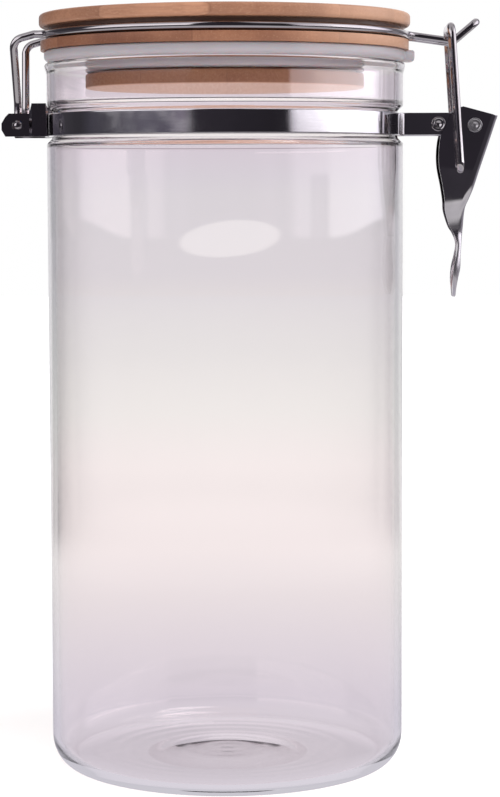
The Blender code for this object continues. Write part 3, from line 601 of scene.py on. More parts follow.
def wall_radius(z, ease=0.0):
    """The straight radius, less the neck groove between two S-curves, plus the rim's flare."""
    into = smooth_step(BAND_BOTTOM - SHOULDER_HEIGHT - ease, BAND_BOTTOM - CLEARANCE - ease, z)
    out_of = smooth_step(BAND_TOP + CLEARANCE + ease, BAND_TOP + SHOULDER_HEIGHT + ease, z)
    flare = smooth_step(GLASS_HEIGHT - RIM_FLARE_HEIGHT, GLASS_HEIGHT - RIM_ROUND, z)
    return GLASS_RADIUS - NECK_GROOVE_DEPTH * (into - out_of) + RIM_FLARE * flare


def wall_side(ease=0.0):
    """Radius and height up the wall, with rows close together at the neck and the flare."""
    low, high = BAND_BOTTOM - SHOULDER_HEIGHT - ease, BAND_TOP + SHOULDER_HEIGHT + ease
    heights = np.concatenate((np.linspace(CORNER_HEIGHT, low, 12)[1:-1], np.linspace(low, high, 40),
                              np.linspace(high, GLASS_HEIGHT - RIM_ROUND, 20)[1:]))
    return np.column_stack((wall_radius(heights, ease), heights))


def punt_height(radius, rise):
    """The pushed-up middle of the base: full height in the centre, an S-curve down to the flat foot."""
    return rise * (1 - smooth_step(PUNT_TOP_RADIUS, PUNT_FOOT_RADIUS, radius))


foot_radius = np.concatenate(([0], np.linspace(PUNT_TOP_RADIUS, PUNT_FOOT_RADIUS, 16)))
foot = np.column_stack((foot_radius, punt_height(foot_radius, PUNT_RISE)))
corner_centre = np.array((GLASS_RADIUS - CORNER_REACH, CORNER_HEIGHT))
corner = corner_centre + arc((0, 0), 1, -90, 0, 16) * (CORNER_REACH, CORNER_HEIGHT)
inner_reach = (CORNER_REACH - GLASS_WALL, CORNER_HEIGHT - BASE_THICKNESS)
well = corner_centre + arc((0, 0), 1, 0, -90, 14) * inner_reach
rim_start = GLASS_HEIGHT - RIM_ROUND
rim = np.vstack((arc((RIM_RADIUS - RIM_ROUND, rim_start), RIM_ROUND, 0, 90, 7)[1:],
                 arc((MOUTH_RADIUS + RIM_ROUND, rim_start), RIM_ROUND, 90, 180, 7)[:-1]))
inside = wall_side(NECK_INNER_EASE)[::-1] - (GLASS_WALL, 0)
ring_radius = np.linspace(0, GLASS_RADIUS - CORNER_REACH, 72)
ring_fade = 1 - smooth_step(0.7 * ring_radius[-1], ring_radius[-1], ring_radius)
rings = RING_DEPTH * ring_fade * np.cos(math.tau * ring_radius / RING_SPACING)
dome = BASE_THICKNESS + punt_height(ring_radius, PUNT_INNER_RISE)
floor_inside = np.column_stack((ring_radius, dome + rings))[-2::-1]
glass_profile = np.vstack((foot, corner, wall_side(), rim, inside, well, floor_inside))

place_piece(surface("jar_glass", revolve(glass_profile, 192)), "jar", "glass_jar", glass_material)

# %% [markdown]
# ## Bamboo
#
# The lid is turned from a laminated board: strips of bamboo glued side by side, each a little lighter
# or redder than the next, with fine dark fibres running along it. One node group gives the colour, the
# roughness and the height of the fibres from a place on the board. The disc and its plug share it. A
# picture of wood could be wrapped round instead, but it would stretch on the edge. Strips worked out in
# space run through the whole board, as grain does.

# %% Bamboo node group
bamboo_group, given = new_group(
    "laminated_bamboo",
    (("Place", "Vector"), ("Light", "Color"), ("Dark", "Color"),
     ("Strip Width", "Float"), ("First Edge", "Float")))
_, board_y, _ = split_vector(given["Place"])
across = math_node("SUBTRACT", board_y, given["First Edge"])
across = math_node("DIVIDE", across, given["Strip Width"])
strip_number = math_node("FLOOR", across)
strip_random = fed_node("ShaderNodeTexWhiteNoise", None, strip_number, noise_dimensions="1D")
within = math_node("FRACT", across)
from_edge = math_node("ABSOLUTE", math_node("SUBTRACT", within, 0.5))
glue_line = spread(from_edge, 0.49, 0.5)
fibres = noise(given["Place"], 1500, 3, (0.03, 1, 1))
pores = noise(given["Place"], 2600, 1, (0.3, 1, 1))
clouds = noise(given["Place"], 70, 3, (0.35, 1, 1))
tone = product(strip_random.outputs["Value"], 0.6)
tone = math_node("ADD", tone, spread(clouds, 0.3, 0.7, 0.0, 0.4))
colour = mix_colours(tone, given["Light"], given["Dark"])
streaks = spread(fibres, 0.35, 0.7, 0.0, 0.3)
colour = mix_colours(streaks, colour, (0.2, 0.07, 0.03, 1))
specks = spread(pores, 0.55, 0.75, 0.0, 0.12)
colour = mix_colours(specks, colour, (0.75, 0.5, 0.32, 1))
colour = mix_colours(product(glue_line, 0.25), colour, (0.1, 0.04, 0.02, 1))
fed_node("NodeGroupOutput", colour, spread(fibres, 0.3, 0.7, 0.36, 0.5),
         math_node("SUBTRACT", fibres, glue_line))
print("bamboo group has", len(bamboo_group.nodes), "nodes")


def board(place, turn, strip_width, first_edge, light, dark):
    """The bamboo group on a board that is turned by some degrees about the jar's axis."""
    mapping = fed_node("ShaderNodeMapping", place, None, (0, 0, math.radians(turn)))
    return use_group(bamboo_group, Place=mapping.outputs[0], Light=(*light, 1), Dark=(*dark, 1),
                     Strip_Width=strip_width, First_Edge=first_edge)


def painted_clasp_side_light(place_x, colour):
    """Bamboo is painted paler towards the clasp's side, where more light falls: painted light."""
    paler = spread(place_x, AXIS_X + 8 * MM, AXIS_X + 56 * MM, 0.0, 0.52)
    return mix_colours(paler, colour, (0.66, 0.4, 0.27, 1))


# %% [markdown]
# ## Lid disc and plug
#
# Both are turned on a lathe, so both are profiles carried round the axis. The disc has a rounded top
# edge, a square groove for the wire and a chamfered flange. The plug hangs on a narrower boss. Bevelled
# cylinders could be stacked up for this, but the joins would show, and one profile has none.

# %% Lid disc
FLANGE_THICKNESS = 2.9 * MM
GROOVE_HEIGHT = 3.9 * MM
EDGE_ROUND = 1.1 * MM
FLANGE_INSET = 0.4 * MM
FLANGE_CHAMFER = 0.12 * MM
WIRE_SET_IN = 1.3 * MM
RING_RADIUS = LID_RADIUS - WIRE_SET_IN
GROOVE_RADIUS = RING_RADIUS - WIRE_RADIUS - CLEARANCE
FLANGE_TOP = LID_BOTTOM + FLANGE_THICKNESS
GROOVE_TOP = FLANGE_TOP + GROOVE_HEIGHT
SOFT_EDGE = 0.25 * MM

flange_radius = LID_RADIUS - FLANGE_INSET
edge = LID_RADIUS - EDGE_ROUND
disc_profile = np.vstack((
    level_run(0, flange_radius - FLANGE_CHAMFER, LID_BOTTOM, 8),
    [(flange_radius - 0.35 * FLANGE_CHAMFER, LID_BOTTOM + 0.35 * FLANGE_CHAMFER),
     (flange_radius, LID_BOTTOM + 1.1 * FLANGE_CHAMFER)],
    arc((flange_radius - SOFT_EDGE, FLANGE_TOP - SOFT_EDGE), SOFT_EDGE, 0, 90, 5),
    [(GROOVE_RADIUS, FLANGE_TOP), (GROOVE_RADIUS, GROOVE_TOP)],
    arc((edge, GROOVE_TOP + EDGE_ROUND), EDGE_ROUND, -90, 0, 8),
    arc((edge, LID_TOP - EDGE_ROUND), EDGE_ROUND, 0, 90, 10),
    level_run(edge, 0, LID_TOP, 8)[1:]))
# The board is glued from two plies whose strips cross at the groove
lid_bamboo, shader, place = new_material("turned_bamboo")
upper = board(place, 20, 23 * MM, -169.5 * MM, (0.53, 0.26, 0.155), (0.14, 0.045, 0.02))
lower = board(place, 91, 40 * MM, 386.4 * MM, (0.38, 0.163, 0.087), (0.125, 0.035, 0.018))
place_x, _, height = split_vector(place)
ply = spread(height, GROOVE_TOP - 1.3 * MM, GROOVE_TOP - 1.1 * MM)
colour = mix_colours(ply, lower["Color"], upper["Color"])
# The clasp's side is painted paler: painted light
colour = painted_clasp_side_light(place_x, colour)
# The groove is painted near black: painted shade in the recess round the wire
painted_groove_shade = between(height, FLANGE_TOP - 0.1 * MM, FLANGE_TOP + 0.3 * MM,
                    GROOVE_TOP - 0.2 * MM, GROOVE_TOP + 0.1 * MM)
colour = mix_colours(product(painted_groove_shade, 0.9), colour, (0.06, 0.018, 0.007, 1))
set_inputs(shader, Base_Color=colour, Roughness=lower["Roughness"])
bump(shader, upper["Height"], 0.25, 0.0001)

place_piece(surface("bamboo_disc", revolve(disc_profile, 192), sharp=32),
            "lid", "lid_disc", lid_bamboo)

# %% Lid plug
PLUG_THICKNESS = 4.2 * MM
PLUG_ROUND = 0.6 * MM
BOSS_RADIUS = PLUG_RADIUS - 2.4 * MM
plug_top = PLUG_BOTTOM + PLUG_THICKNESS
plug_edge = PLUG_RADIUS - PLUG_ROUND
plug_profile = np.vstack((
    level_run(0, plug_edge, PLUG_BOTTOM, 6)[:-1],
    arc((plug_edge, PLUG_BOTTOM + PLUG_ROUND), PLUG_ROUND, -90, 0, 7),
    arc((plug_edge, plug_top - PLUG_ROUND), PLUG_ROUND, 0, 90, 7),
    [(BOSS_RADIUS, plug_top), (BOSS_RADIUS, plug_high.z), (0, plug_high.z)]))
plug_bamboo, shader, place = new_material("plug_bamboo")
bamboo = board(place, 88, 24 * MM, -7 * MM, (0.36, 0.17, 0.09), (0.27, 0.11, 0.06))
# The underside is painted paler than the plug's edge: painted light
_, _, height = split_vector(place)
painted_underside_light = falling(height, PLUG_BOTTOM + 0.1 * MM, PLUG_BOTTOM + 0.5 * MM, 0.6)
plug_colour = mix_colours(painted_underside_light, bamboo["Color"], (0.85, 0.56, 0.45, 1))
set_inputs(shader, Base_Color=plug_colour, Roughness=bamboo["Roughness"])
bump(shader, bamboo["Height"], 0.25, 0.0001)

place_piece(surface("bamboo_plug", revolve(plug_profile, 160), sharp=32),
            "lid", "lid_plug", plug_bamboo)

# %% [markdown]
# ## Gasket
#
# A milky silicone ring. Its section is a flat flange on the rim with a sleeve that grips the plug's
# boss, and on the clasp's side the flange runs out into a tongue that a finger can pull. The tongue is
# part of the same grid: near that side the outer half of the section moves out and grows thicker. A
# tongue that is joined on with a Boolean would leave a seam, which moulded silicone doesn't have.

# %% Gasket surface
silicone_material, shader, place = new_material("milky_silicone")
milky = mix_colours(noise(place, 90, 2), (0.36, 0.33, 0.355, 1), (0.44, 0.405, 0.435, 1))
set_inputs(shader, Roughness=0.38, Subsurface_Weight=0.4, Subsurface_Scale=0.002, Base_Color=milky)
bump(shader, noise(place, 300, 2), 0.1, 0.0001)

SLEEVE_PLAY = 9.7 * MM
TAB_REACH = 2.7 * MM
TAB_HALF_WIDTH = 4.5 * MM
TAB_THICKNESS = 3.7 * MM
TOP_ROUND = 0.7 * MM
ANGLE_CROWDING = 1.6
# The lid lies on the flange, so the gap is next to nothing, where the solid has a wider one
LID_GAP = 0.02 * MM
gasket_bottom = GLASS_HEIGHT + CLEARANCE
gasket_top = LID_BOTTOM - LID_GAP
print("gasket stands", round((gasket_top - gasket_high.z) * 1000, 2), "mm above the solid's")
flange = gasket_top - gasket_bottom
bore = BOSS_RADIUS + CLEARANCE
sleeve_outer = MOUTH_RADIUS - SLEEVE_PLAY
lip = (sleeve_outer - bore) / 2
sleeve_end = gasket_low.z
gasket_profile = np.vstack((
    [(bore, gasket_top)],
    arc((sleeve_outer - lip, sleeve_end + lip), lip, -180, 0, 11),
    [(sleeve_outer, gasket_bottom)],
    level_run(sleeve_outer, RIM_RADIUS - flange / 2, gasket_bottom, 6)[1:-1],
    arc((RIM_RADIUS - flange / 2, gasket_bottom + flange / 2), flange / 2, -90, 0, 9),
    arc((RIM_RADIUS - TOP_ROUND, gasket_top - TOP_ROUND), TOP_ROUND, 0, 90, 5)))


def gasket_points(profile, steps=240):
    """The revolved section, with its outer edge moved out and down where the pull tab is.

    The tab's share is 1 within its half width and falls to 0 over a short way. Angles are closer
    together near it.
    """
    angles = np.linspace(-math.pi, math.pi, steps, endpoint=False)
    angles = np.sign(angles) * math.pi * (np.abs(angles) / math.pi) ** ANGLE_CROWDING
    radius = np.repeat(profile[:, :1], steps, axis=1)
    height = np.repeat(profile[:, 1:], steps, axis=1)
    sideways = np.abs(RIM_RADIUS * np.sin(angles))
    tab = (np.cos(angles) > 0) * (1 - smooth_step(TAB_HALF_WIDTH - 1.2 * MM, TAB_HALF_WIDTH, sideways))
    outer = smooth_step(RIM_RADIUS - 1.5 * MM, RIM_RADIUS - 0.3 * MM, radius)
    below = smooth_step(gasket_top, gasket_bottom, height)
    radius = radius + tab * outer * TAB_REACH
    height = height - tab * outer * below * (TAB_THICKNESS - flange)
    return turned(radius, angles, height)


silicone_ring = surface("silicone_ring", gasket_points(hold_flats(gasket_profile)), wrap_rows=True, sharp=50)
place_piece(silicone_ring, "lid", "gasket", silicone_material)

# %% [markdown]
# ## Polished steel
#
# Stainless wire and strip look like mirrors at arm's length, yet they have faint drawing lines and
# finger marks that spread the reflections. The group turns a place into a slightly varying colour and
# roughness and a very low height. Each steel part uses it with its own base colour and polish.

# %% Steel node group
steel_group, given = new_group(
    "handled_steel", (("Place", "Vector"), ("Tint", "Color"), ("Polish", "Float")))
smudges = noise(given["Place"], 120, 3)
lines = noise(given["Place"], 1600, 1, (0.1, 0.1, 1))
worn = spread(smudges, 0.35, 0.7, 0.0, 1.0)
steel_colour = mix_colours(product(worn, 0.25), given["Tint"], (0.35, 0.34, 0.36, 1))
fed_node("NodeGroupOutput", steel_colour, math_node("ADD", given["Polish"], product(worn, 0.06)), lines)


def steel_material(name, tint, polish, depth=0.06, dull=None):
    """Steel from the shared group: a tint, and a polish that is 0 for a mirror.

    With two heights and a number given as dull, the polish goes to that number at the lower height.
    """
    material, shader, place = new_material(name)
    if dull is not None:
        _, _, height = split_vector(place)
        polish = spread(height, dull[0], dull[1], dull[2], polish)
    steel = use_group(steel_group, Place=place, Tint=(*tint, 1), Polish=polish)
    set_inputs(shader, Metallic=1.0, Base_Color=steel["Color"], Roughness=steel["Roughness"])
    bump(shader, steel["Height"], depth, 0.00002)
    return material


band_steel = steel_material("polished_band_steel", (0.66, 0.65, 0.67), 0.06)
wire_steel = steel_material("bright_wire_steel", (0.5, 0.475, 0.49), 0.08)
lever_steel = steel_material("pressed_lever_steel", (0.62, 0.6, 0.63), 0.05, 0.02, (154 * MM, 168 * MM, 0.3))
bracket_steel = steel_material("pressed_bracket_steel", (0.42, 0.4, 0.42), 0.05)
rivet_steel = steel_material("rivet_head_steel", (0.6, 0.59, 0.61), 0.3, 0.15)
dark_rivet_steel = steel_material("tab_rivet_steel", (0.5, 0.48, 0.5), 0.15, 0.1)
print("steel group has", len(steel_group.nodes), "nodes")

# %% [markdown]
# ## Paths and sections
#
# Wire and strip are both a section carried along a path. A path here is a chain of straight runs with
# an arc at each corner. The section's two directions follow from the path's direction and from one
# slanting line that no wire here runs along, so the section turns evenly. A bevelled curve could do
# this for round wire, but points that are worked out can also be drawn in at the wire's ends.

# %% Path helpers
SLANT = np.array((0.3, 0.5, 0.8))


def rounded_path(corners, radii, count=9):
    """Straight runs between corners, each inner corner replaced by an arc that touches both runs.

    The arc's centre lies on the corner's bisector at radius / sin(half the angle between the runs).
    """
    corners = np.asarray(corners, float)
    pieces = [corners[:1]]
    for before, corner, after, radius in zip(corners, corners[1:], corners[2:], radii):
        back = unit(before - corner)
        onward = unit(after - corner)
        half = math.acos(np.clip(back @ onward, -1, 1)) / 2
        centre = corner + unit(back + onward) * radius / math.sin(half)
        first = back / math.tan(half) * radius + corner - centre
        last = onward / math.tan(half) * radius + corner - centre
        share = np.linspace(0, 1, count)[:, None]
        turn = math.pi - 2 * half
        ray = first * np.sin((1 - share) * turn) + last * np.sin(share * turn)
        pieces.append(centre + unit(ray) * radius)
    pieces.append(corners[-1:])
    return np.vstack(pieces)


def section_directions(path):
    """Two directions across a path with tangents t: s - t (t . s) for one slanting line s, and t x that."""
    tangents = unit(np.gradient(path, axis=0))
    normals = unit(SLANT - tangents * (tangents @ SLANT)[:, None])
    return normals, np.cross(tangents, normals)


def round_wire(path, radius, sides=20, end_round=0.4 * MM):
    """A circle carried along a path, drawn in at both ends by a quarter of an ellipse.

    A point is path + r (cos a normal + sin a binormal); r falls to 0 at the ends.
    """
    path = hold_flats(path, 0.2 * MM)
    length = np.concatenate(([0], np.cumsum(np.linalg.norm(np.diff(path, axis=0), axis=1))))
    ends = end_round * (1 - np.cos(np.linspace(0, math.pi / 2, 5)))
    middle = length[(length > end_round) & (length < length[-1] - end_round)]
    stations = np.unique(np.concatenate((ends, middle, length[-1] - ends)))
    path = np.column_stack([np.interp(stations, length, path[:, axis]) for axis in range(3)])
    inset = np.minimum(stations, length[-1] - stations)
    thin = np.sqrt(np.clip(1 - (1 - np.minimum(inset / end_round, 1)) ** 2, 0, 1))
    normals, binormals = section_directions(path)
    angles = np.linspace(0, math.tau, sides, endpoint=False)[None, :, None]
    ring = np.cos(angles) * normals[:, None] + np.sin(angles) * binormals[:, None]
    return path[:, None] + radius * thin[:, None, None] * ring


def mirrored(half):
    """A half path at -Y, followed by its mirror image back at +Y."""
    other = half[::-1] * (1, -1, 1)
    return np.vstack((half, other[1:] if abs(half[-1, 1]) < 1e-9 else other))


print("path helpers are ready")

# %% [markdown]
# ## Lid wire
#
# One sprung wire. Its ends turn outwards as hinge pins, the legs rise and lean out to shoulders, run
# in to the lid's groove, go round it, and meet at the clasp side, where they dip and then turn up
# into a nose that the bail hooks over. The two halves are alike, so one half is worked out and mirrored.

# %% Lid wire surface
PIN_REACH = 12.5 * MM
LEG_HALF_SPREAD = 9.8 * MM
SHOULDER_HALF_SPREAD = 15.5 * MM
SHOULDER_BEHIND_HINGE = 0.5 * MM
LEG_UPRIGHT = 6.4 * MM
HINGE_RUN_DROP = 1.65 * MM
HINGE_RING_BEND = 5.0 * MM
CLASP_RING_BEND = 4.0 * MM
STEM_HALF_SPREAD = 4.0 * MM
STEM_DROP = 1.95 * MM
CROOK_BEHIND_PIVOT = 6.2 * MM
NOSE_RUN = 6.9 * MM
NOSE_RISE = 5.8 * MM
NOSE_HALF_SPREAD = 2.5 * MM
LEG_BENDS = (2.0 * MM, 6.0 * MM, 3.2 * MM)
STEM_BEND = 2.4 * MM
ring_z = FLANGE_TOP + CLEARANCE + WIRE_RADIUS
hinge_out = AXIS_X - HINGE_X
crook_out = PIVOT_X - CROOK_BEHIND_PIVOT - AXIS_X


def ring_height(x):
    """Level in the groove, with a slope down towards the hinge legs and towards the nose."""
    hinge_start = ring_join(SHOULDER_HALF_SPREAD, HINGE_RING_BEND)[0]
    hinge_slope = HINGE_RUN_DROP / (hinge_out - hinge_start)
    stem_slope = STEM_DROP / (crook_out - RING_RADIUS)
    hinge_drop = hinge_slope * np.maximum(-x - hinge_start, 0)
    return ring_z - hinge_drop - stem_slope * np.maximum(x - RING_RADIUS, 0)


def ring_join(spread_half, bend):
    """Centre and lean of the bend that joins a straight run at y = -spread to the groove's circle."""
    y = spread_half + bend
    x = math.sqrt((RING_RADIUS + bend) ** 2 - y ** 2)
    return x, y, math.degrees(math.asin(y / (RING_RADIUS + bend)))


def lid_wire_half():
    """The half at -Y from the hinge pin to the nose's tip, in the jar's own frame."""
    hinge_x, hinge_y, hinge_lean = ring_join(SHOULDER_HALF_SPREAD, HINGE_RING_BEND)
    clasp_x, clasp_y, clasp_lean = ring_join(STEM_HALF_SPREAD, CLASP_RING_BEND)
    shoulder = (-hinge_out - SHOULDER_BEHIND_HINGE, -SHOULDER_HALF_SPREAD, ring_height(-hinge_out))
    leg = [(-hinge_out, -PIN_REACH, HINGE_Z), (-hinge_out, -LEG_HALF_SPREAD, HINGE_Z),
           (-hinge_out, -LEG_HALF_SPREAD, HINGE_Z + LEG_UPRIGHT), shoulder,
           (-hinge_x, -SHOULDER_HALF_SPREAD, ring_height(-hinge_x))]
    path = rounded_path(leg, LEG_BENDS)[:-1]
    plan = np.vstack((arc((-hinge_x, -hinge_y), HINGE_RING_BEND, 90, hinge_lean, 9),
                      arc((0, 0), RING_RADIUS, 180 + hinge_lean, 360 - clasp_lean, 90)[1:-1],
                      arc((clasp_x, -clasp_y), CLASP_RING_BEND, 180 - clasp_lean, 90, 9)))
    path = np.vstack((path, np.column_stack((plan, ring_height(plan[:, 0])))))
    crook = np.array((crook_out, -STEM_HALF_SPREAD, ring_z - STEM_DROP))
    slope = np.array((NOSE_RUN, 0, NOSE_RISE)) / math.hypot(NOSE_RUN, NOSE_RISE)
    tip = crook + (NOSE_RUN, STEM_HALF_SPREAD, NOSE_RISE)
    turn_start = tip - slope * NOSE_HALF_SPREAD - (0, NOSE_HALF_SPREAD, 0)
    path = np.vstack((path[:-1], rounded_path([path[-1], crook, turn_start], (STEM_BEND,), 11)[:-1]))
    turn = arc((0, 0), NOSE_HALF_SPREAD, -90, 0, 11)
    nose = tip + slope * (turn[:, :1] - NOSE_HALF_SPREAD) + np.array((0, 1, 0)) * turn[:, 1:]
    return np.vstack((path, nose))


lid_wire_path = mirrored(lid_wire_half()) + (AXIS_X, 0, 0)
place_piece(surface("sprung_lid_wire", round_wire(lid_wire_path, WIRE_RADIUS), sharp=60),
            "lid", "lid_wire", wire_steel)

# %% [markdown]
# ## Bail wire
#
# The loop that hooks over the nose: two legs beside the lever, a crossbar, and ends turned in through
# the lever's cheeks. Its path is six points with a bend at the four inner ones.

# %% Bail surface
CROSSBAR_BACK = 0.9 * MM
BAIL_INNER_HALF = 6.6 * MM
BAIL_BENDS = (2.0 * MM, 3.0 * MM, 3.0 * MM, 2.0 * MM)
crossbar_z = bail_high.z - BAIL_RADIUS
crossbar_x = PIVOT_X - CROOK_BEHIND_PIVOT - CROSSBAR_BACK
bail_half = bail_high.y - BAIL_RADIUS
bail_corners = [(HOLE_X, -BAIL_INNER_HALF, HOLE_Z), (HOLE_X, -bail_half, HOLE_Z),
                (crossbar_x, -bail_half, crossbar_z), (crossbar_x, bail_half, crossbar_z),
                (HOLE_X, bail_half, HOLE_Z), (HOLE_X, BAIL_INNER_HALF, HOLE_Z)]
bail_path = rounded_path(bail_corners, BAIL_BENDS)
place_piece(surface("bail_loop_wire", round_wire(bail_path, BAIL_RADIUS), sharp=60),
            "bail", "bail_wire", wire_steel)

# %% [markdown]
# ## Neck band
#
# A thin strip on edge that goes round the neck and leaves it at the clasp side as two parallel tabs
# with rounded corners. Its section is a slim rounded rectangle whose height shrinks along the tabs'
# ends, so corners and strip are one grid. Solidify on a bent ribbon would be quicker to make, but it
# leaves square edges, and the band's rounded ones are what catches the light.

# %% Band surface
TAB_INNER_HALF = 5.5 * MM
TAB_BEND_RADIUS = 2.4 * MM
TAB_PAST_PIVOT = 3.6 * MM
TAB_CORNER_RADIUS = 2.8 * MM


def slim_section(thickness, count=5):
    """Points round a rounded strip: how far across, which end (-1 low, 1 high), how far past that end.

    Each quarter round has one more point on the flat, which keeps the long faces' shading flat.
    """
    corner_round = 0.3 * thickness
    half = thickness / 2
    low = np.vstack((arc((half - corner_round, 0), corner_round, -90, 0, count), [(half, 0.1 * MM)]))
    turns = np.vstack((low, low[::-1] * (1, -1), low * (-1, -1), low[::-1] * (-1, 1)))
    sides = np.repeat((-1, 1, 1, -1), count + 1)
    return turns[:, 0], sides, turns[:, 1] - sides * corner_round


def band_points():
    """Each path point is moved sideways by the section's depth and up by its height there."""
    tab_half = TAB_INNER_HALF + BAND_THICKNESS / 2
    middle = GLASS_RADIUS - BAND_RECESS - BAND_THICKNESS / 2
    reach = middle + TAB_BEND_RADIUS
    bend_y = tab_half + TAB_BEND_RADIUS
    bend_x = math.sqrt(reach ** 2 - bend_y ** 2)
    lean = math.degrees(math.asin(bend_y / reach))
    tab_end = PIVOT_X - AXIS_X + TAB_PAST_PIVOT
    out = tab_end - TAB_CORNER_RADIUS * (1 - np.cos(np.linspace(0, math.pi / 2, 12)))
    tab = np.column_stack((np.append(out, bend_x + 1 * MM), np.full(13, tab_half)))
    bend = arc((bend_x, bend_y), TAB_BEND_RADIUS, -90, -180 + lean, 12)
    round_neck = arc((0, 0), middle, lean, 360 - lean, 160)[1:-1]
    plan = np.vstack((tab, bend, round_neck, bend[::-1] * (1, -1), tab[::-1] * (1, -1)))
    tangent = np.gradient(plan, axis=0)
    tangent[0] = (-1, 0)
    tangent[-1] = (1, 0)
    tangent = unit(tangent)
    side = np.column_stack((-tangent[:, 1], tangent[:, 0]))
    half_height = (BAND_TOP - BAND_BOTTOM) / 2
    inset = np.clip(tab_end - plan[:, 0], 0, TAB_CORNER_RADIUS)
    drop = TAB_CORNER_RADIUS - np.sqrt(TAB_CORNER_RADIUS ** 2 - (TAB_CORNER_RADIUS - inset) ** 2)
    across, ends, curl = slim_section(BAND_THICKNESS)
    xy = plan[:, None] + side[:, None] * across[None, :, None]
    up = (half_height - drop)[:, None] * ends[None] + curl[None]
    points = np.concatenate((xy, (up + (BAND_TOP + BAND_BOTTOM) / 2)[..., None]), axis=-1)
    centre = points.mean(axis=1, keepdims=True).repeat(points.shape[1], axis=1)
    return np.concatenate((centre[:1], points, centre[-1:])) + (AXIS_X, 0, 0)


place_piece(surface("steel_neck_strap", band_points(), sharp=50),
            "jar", "neck_band", band_steel)

# %% [markdown]
# ## Clasp lever
#
# The lever is pressed from sheet: a deep channel at the pivot whose web twists over into a flat thumb
# leaf. It is described by a few stations from top to tip. A smooth curve runs through them, and at
# each of its points a U-shaped section is drawn between the cheeks' free edge and the web. It could
# be sculpted, but stations can be measured and put right one by one.

# %% Lever sizes and stations
LEVER_THICKNESS = 0.8 * MM
LEVER_SIZE = np.array((14.4, 50.3)) * MM
PIVOT = (PIVOT_X, PIVOT_Z)
LEVER_BEND = 1.9 * MM
LEVER_LIP = 0.15 * MM
LEVER_FLAT = 0.12 * MM
lever_low, lever_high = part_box("clasp_lever")
LEVER_HALF = (lever_high.y - lever_low.y) / 2
# Place of the free edge, place of the web, both from the pivot in shares of the size, and share of width
LEVER_STATIONS = np.array((
    (-0.23, 0.108, 0.47, 0.054, 1.0),
    (-0.35, 0.098, 0.455, 0.039, 1.0),
    (-0.465, 0.074, 0.432, 0.022, 1.0),
    (-0.569, 0.008, 0.362, -0.04, 1.0),
    (-0.681, -0.058, 0.29, -0.103, 1.0),
    (-0.726, -0.155, 0.186, -0.191, 1.0),
    (-0.714, -0.245, 0.094, -0.27, 1.0),
    (-0.646, -0.346, -0.01, -0.362, 0.98),
    (-0.6, -0.433, -0.095, -0.422, 0.93),
    (-0.59, -0.492, -0.172, -0.474, 0.86),
    (-0.543, -0.545, -0.2, -0.53, 0.78),
    (-0.485, -0.592, -0.212, -0.582, 0.73),
    (-0.4, -0.632, -0.228, -0.628, 0.72),
    (-0.328, -0.69, -0.25, -0.69, 0.8),
    (-0.355, -0.757, -0.268, -0.757, 0.93),
    (-0.407, -0.825, -0.272, -0.826, 0.99),
    (-0.427, -0.895, -0.322, -0.897, 0.95),
    (-0.418, -0.95, -0.35, -0.952, 0.76),
    (-0.418, -0.985, -0.35, -0.987, 0.46),
    (-0.418, -1.0, -0.35, -1.002, 0.22)))
print("lever stations:", len(LEVER_STATIONS))

# %% Lever surface
def smooth_rows(rows, steps=6):
    """A Catmull-Rom curve through the rows: between two rows each column is a cubic in t.

    Its end slopes are half the difference of the rows on either side.
    """
    padded = np.vstack((2 * rows[0] - rows[1], rows, 2 * rows[-1] - rows[-2]))
    before, first, last, after = padded[:-3], padded[1:-2], padded[2:-1], padded[3:]
    t = np.linspace(0, 1, steps, endpoint=False)[:, None, None]
    curve = 0.5 * (2 * first + (last - before) * t + (2 * before - 5 * first + 4 * last - after) * t ** 2
                   + (3 * first - before - 3 * last + after) * t ** 3)
    return np.vstack((curve.transpose(1, 0, 2).reshape(-1, rows.shape[1]), rows[-1:]))


def cheek_outline(depth, half, bend, web):
    """From one cheek's free edge round its bend to the web, which lies at u = web."""
    quarter = np.radians(np.linspace(-90, -180, 8))[None]
    u = np.hstack((depth, web + bend + LEVER_FLAT, web + bend + bend * np.cos(quarter), web + 0 * depth))
    v = np.hstack((-half, -half, bend - half + bend * np.sin(quarter), bend - half + LEVER_FLAT))
    return np.minimum(u, depth), v


def lever_points():
    """A U in each station's own plane: u runs from the web inwards, v across the lever.

    The outline goes down one cheek's outside, round the web and up the other, then back inside.
    """
    rows = smooth_rows(LEVER_STATIONS)
    free, web = rows[:, :2] * LEVER_SIZE + PIVOT, rows[:, 2:4] * LEVER_SIZE + PIVOT
    reach = np.linalg.norm(free - web, axis=1, keepdims=True)
    depth = np.maximum(reach, LEVER_THICKNESS + LEVER_LIP)
    half = (LEVER_HALF * rows[:, 4])[:, None]
    bend = np.minimum(LEVER_BEND, np.minimum(depth, half / 2))
    inner_bend = np.maximum(bend - LEVER_THICKNESS, LEVER_LIP / 2)
    outer_u, outer_v = cheek_outline(depth, half, bend, 0)
    inner_u, inner_v = cheek_outline(depth, half - LEVER_THICKNESS, inner_bend, LEVER_THICKNESS)
    u = np.hstack((outer_u, outer_u[:, ::-1], inner_u, inner_u[:, ::-1]))
    v = np.hstack((outer_v, -outer_v[:, ::-1], -inner_v, inner_v[:, ::-1]))
    plane = web[:, None] + unit(free - web)[:, None] * u[..., None]
    return np.stack((plane[..., 0], v, plane[..., 1]), axis=-1)


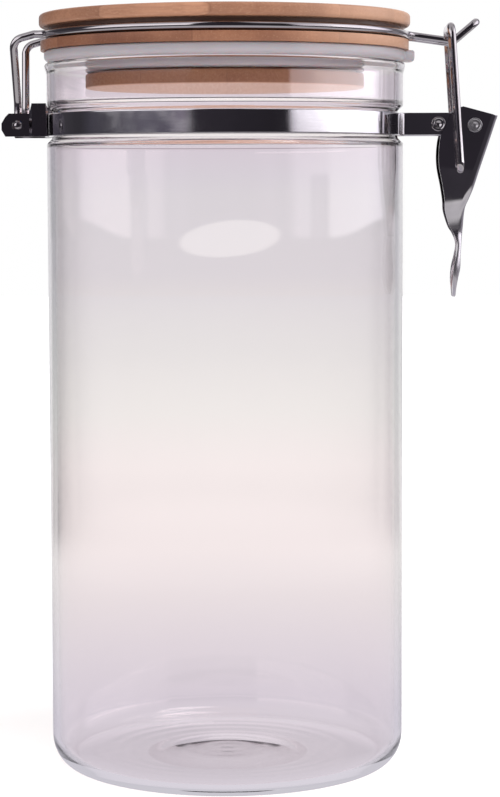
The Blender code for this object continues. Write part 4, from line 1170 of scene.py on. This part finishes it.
clasp = surface("pressed_clasp_lever", lever_points(), sharp=40)
bm = bmesh.new()
bm.from_mesh(clasp.data)
bmesh.ops.holes_fill(bm, edges=bm.edges, sides=0)
bmesh.ops.recalc_face_normals(bm, faces=bm.faces)
bm.to_mesh(clasp.data)
bm.free()
place_piece(clasp, "lever", "clasp_lever", lever_steel)

# %% [markdown]
# ## Rivets
#
# Two riveted pins, one through the tabs and one through tabs and lever. Each is turned: a shank with a
# flat round head at both ends. The riveting tool leaves a ring near the head's edge and a small eye.
# Plain cylinders would do from afar; close by, the ring and the eye show that the pins were pressed.

# %% Rivet surfaces
SHANK_RADIUS = 1.2 * MM
HEAD_ROUND = 0.2 * MM
DISH = 0.05 * MM


def rivet_points(node, head, ring, eye, steps=64):
    """A profile of (distance from the pin's axis, place along it) carried round an axis along Y.

    x is r cos a, z is r sin a. The far half is the near half mirrored.
    """
    low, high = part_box(node)
    radius = (high.x - low.x) / 2
    end = high.y
    half = np.vstack(([(0, end - eye), (0.3 * radius, end - eye)],
                      [(0.42 * radius, end - DISH), (0.55 * radius, end - DISH)],
                      [(0.62 * radius, end - ring), (0.74 * radius, end - ring), (0.8 * radius, end)],
                      arc((radius - HEAD_ROUND, end - HEAD_ROUND), HEAD_ROUND, 90, 0, 6),
                      [(radius, end - head), (SHANK_RADIUS, end - head)]))
    profile = np.vstack((half, half[::-1] * (1, -1)))
    angles = np.linspace(0, math.tau, steps, endpoint=False)
    r = profile[:, :1]
    y = np.repeat(profile[:, 1:], steps, axis=1)
    middle_x, middle_z = (low.x + high.x) / 2, (low.z + high.z) / 2
    return np.stack((middle_x + r * np.cos(angles), y, middle_z + r * np.sin(angles)), axis=-1)


for node, name, head, ring, eye, steel in (
        ("tab_rivet", "tab_rivet_heads", 0.6, 0.12, 0.3, dark_rivet_steel),
        ("lever_pivot_pin", "lever_pin_heads", 0.7, 0.1, 0.25, rivet_steel)):
    pin = surface(name, rivet_points(node, head * MM, ring * MM, eye * MM), sharp=60)
    place_piece(pin, "jar", node, steel)

# %% [markdown]
# ## Bracket and spacer
#
# These CAD solids already have the right shape, so they stay and only get their steel.

# %% Finishes for the CAD solids that stay
for name in ("hinge_bracket", "tab_spacer"):
    for material_slot in frame["nodes"][name].material_slots:
        material_slot.material = bracket_steel
print("kept solids have their steel")
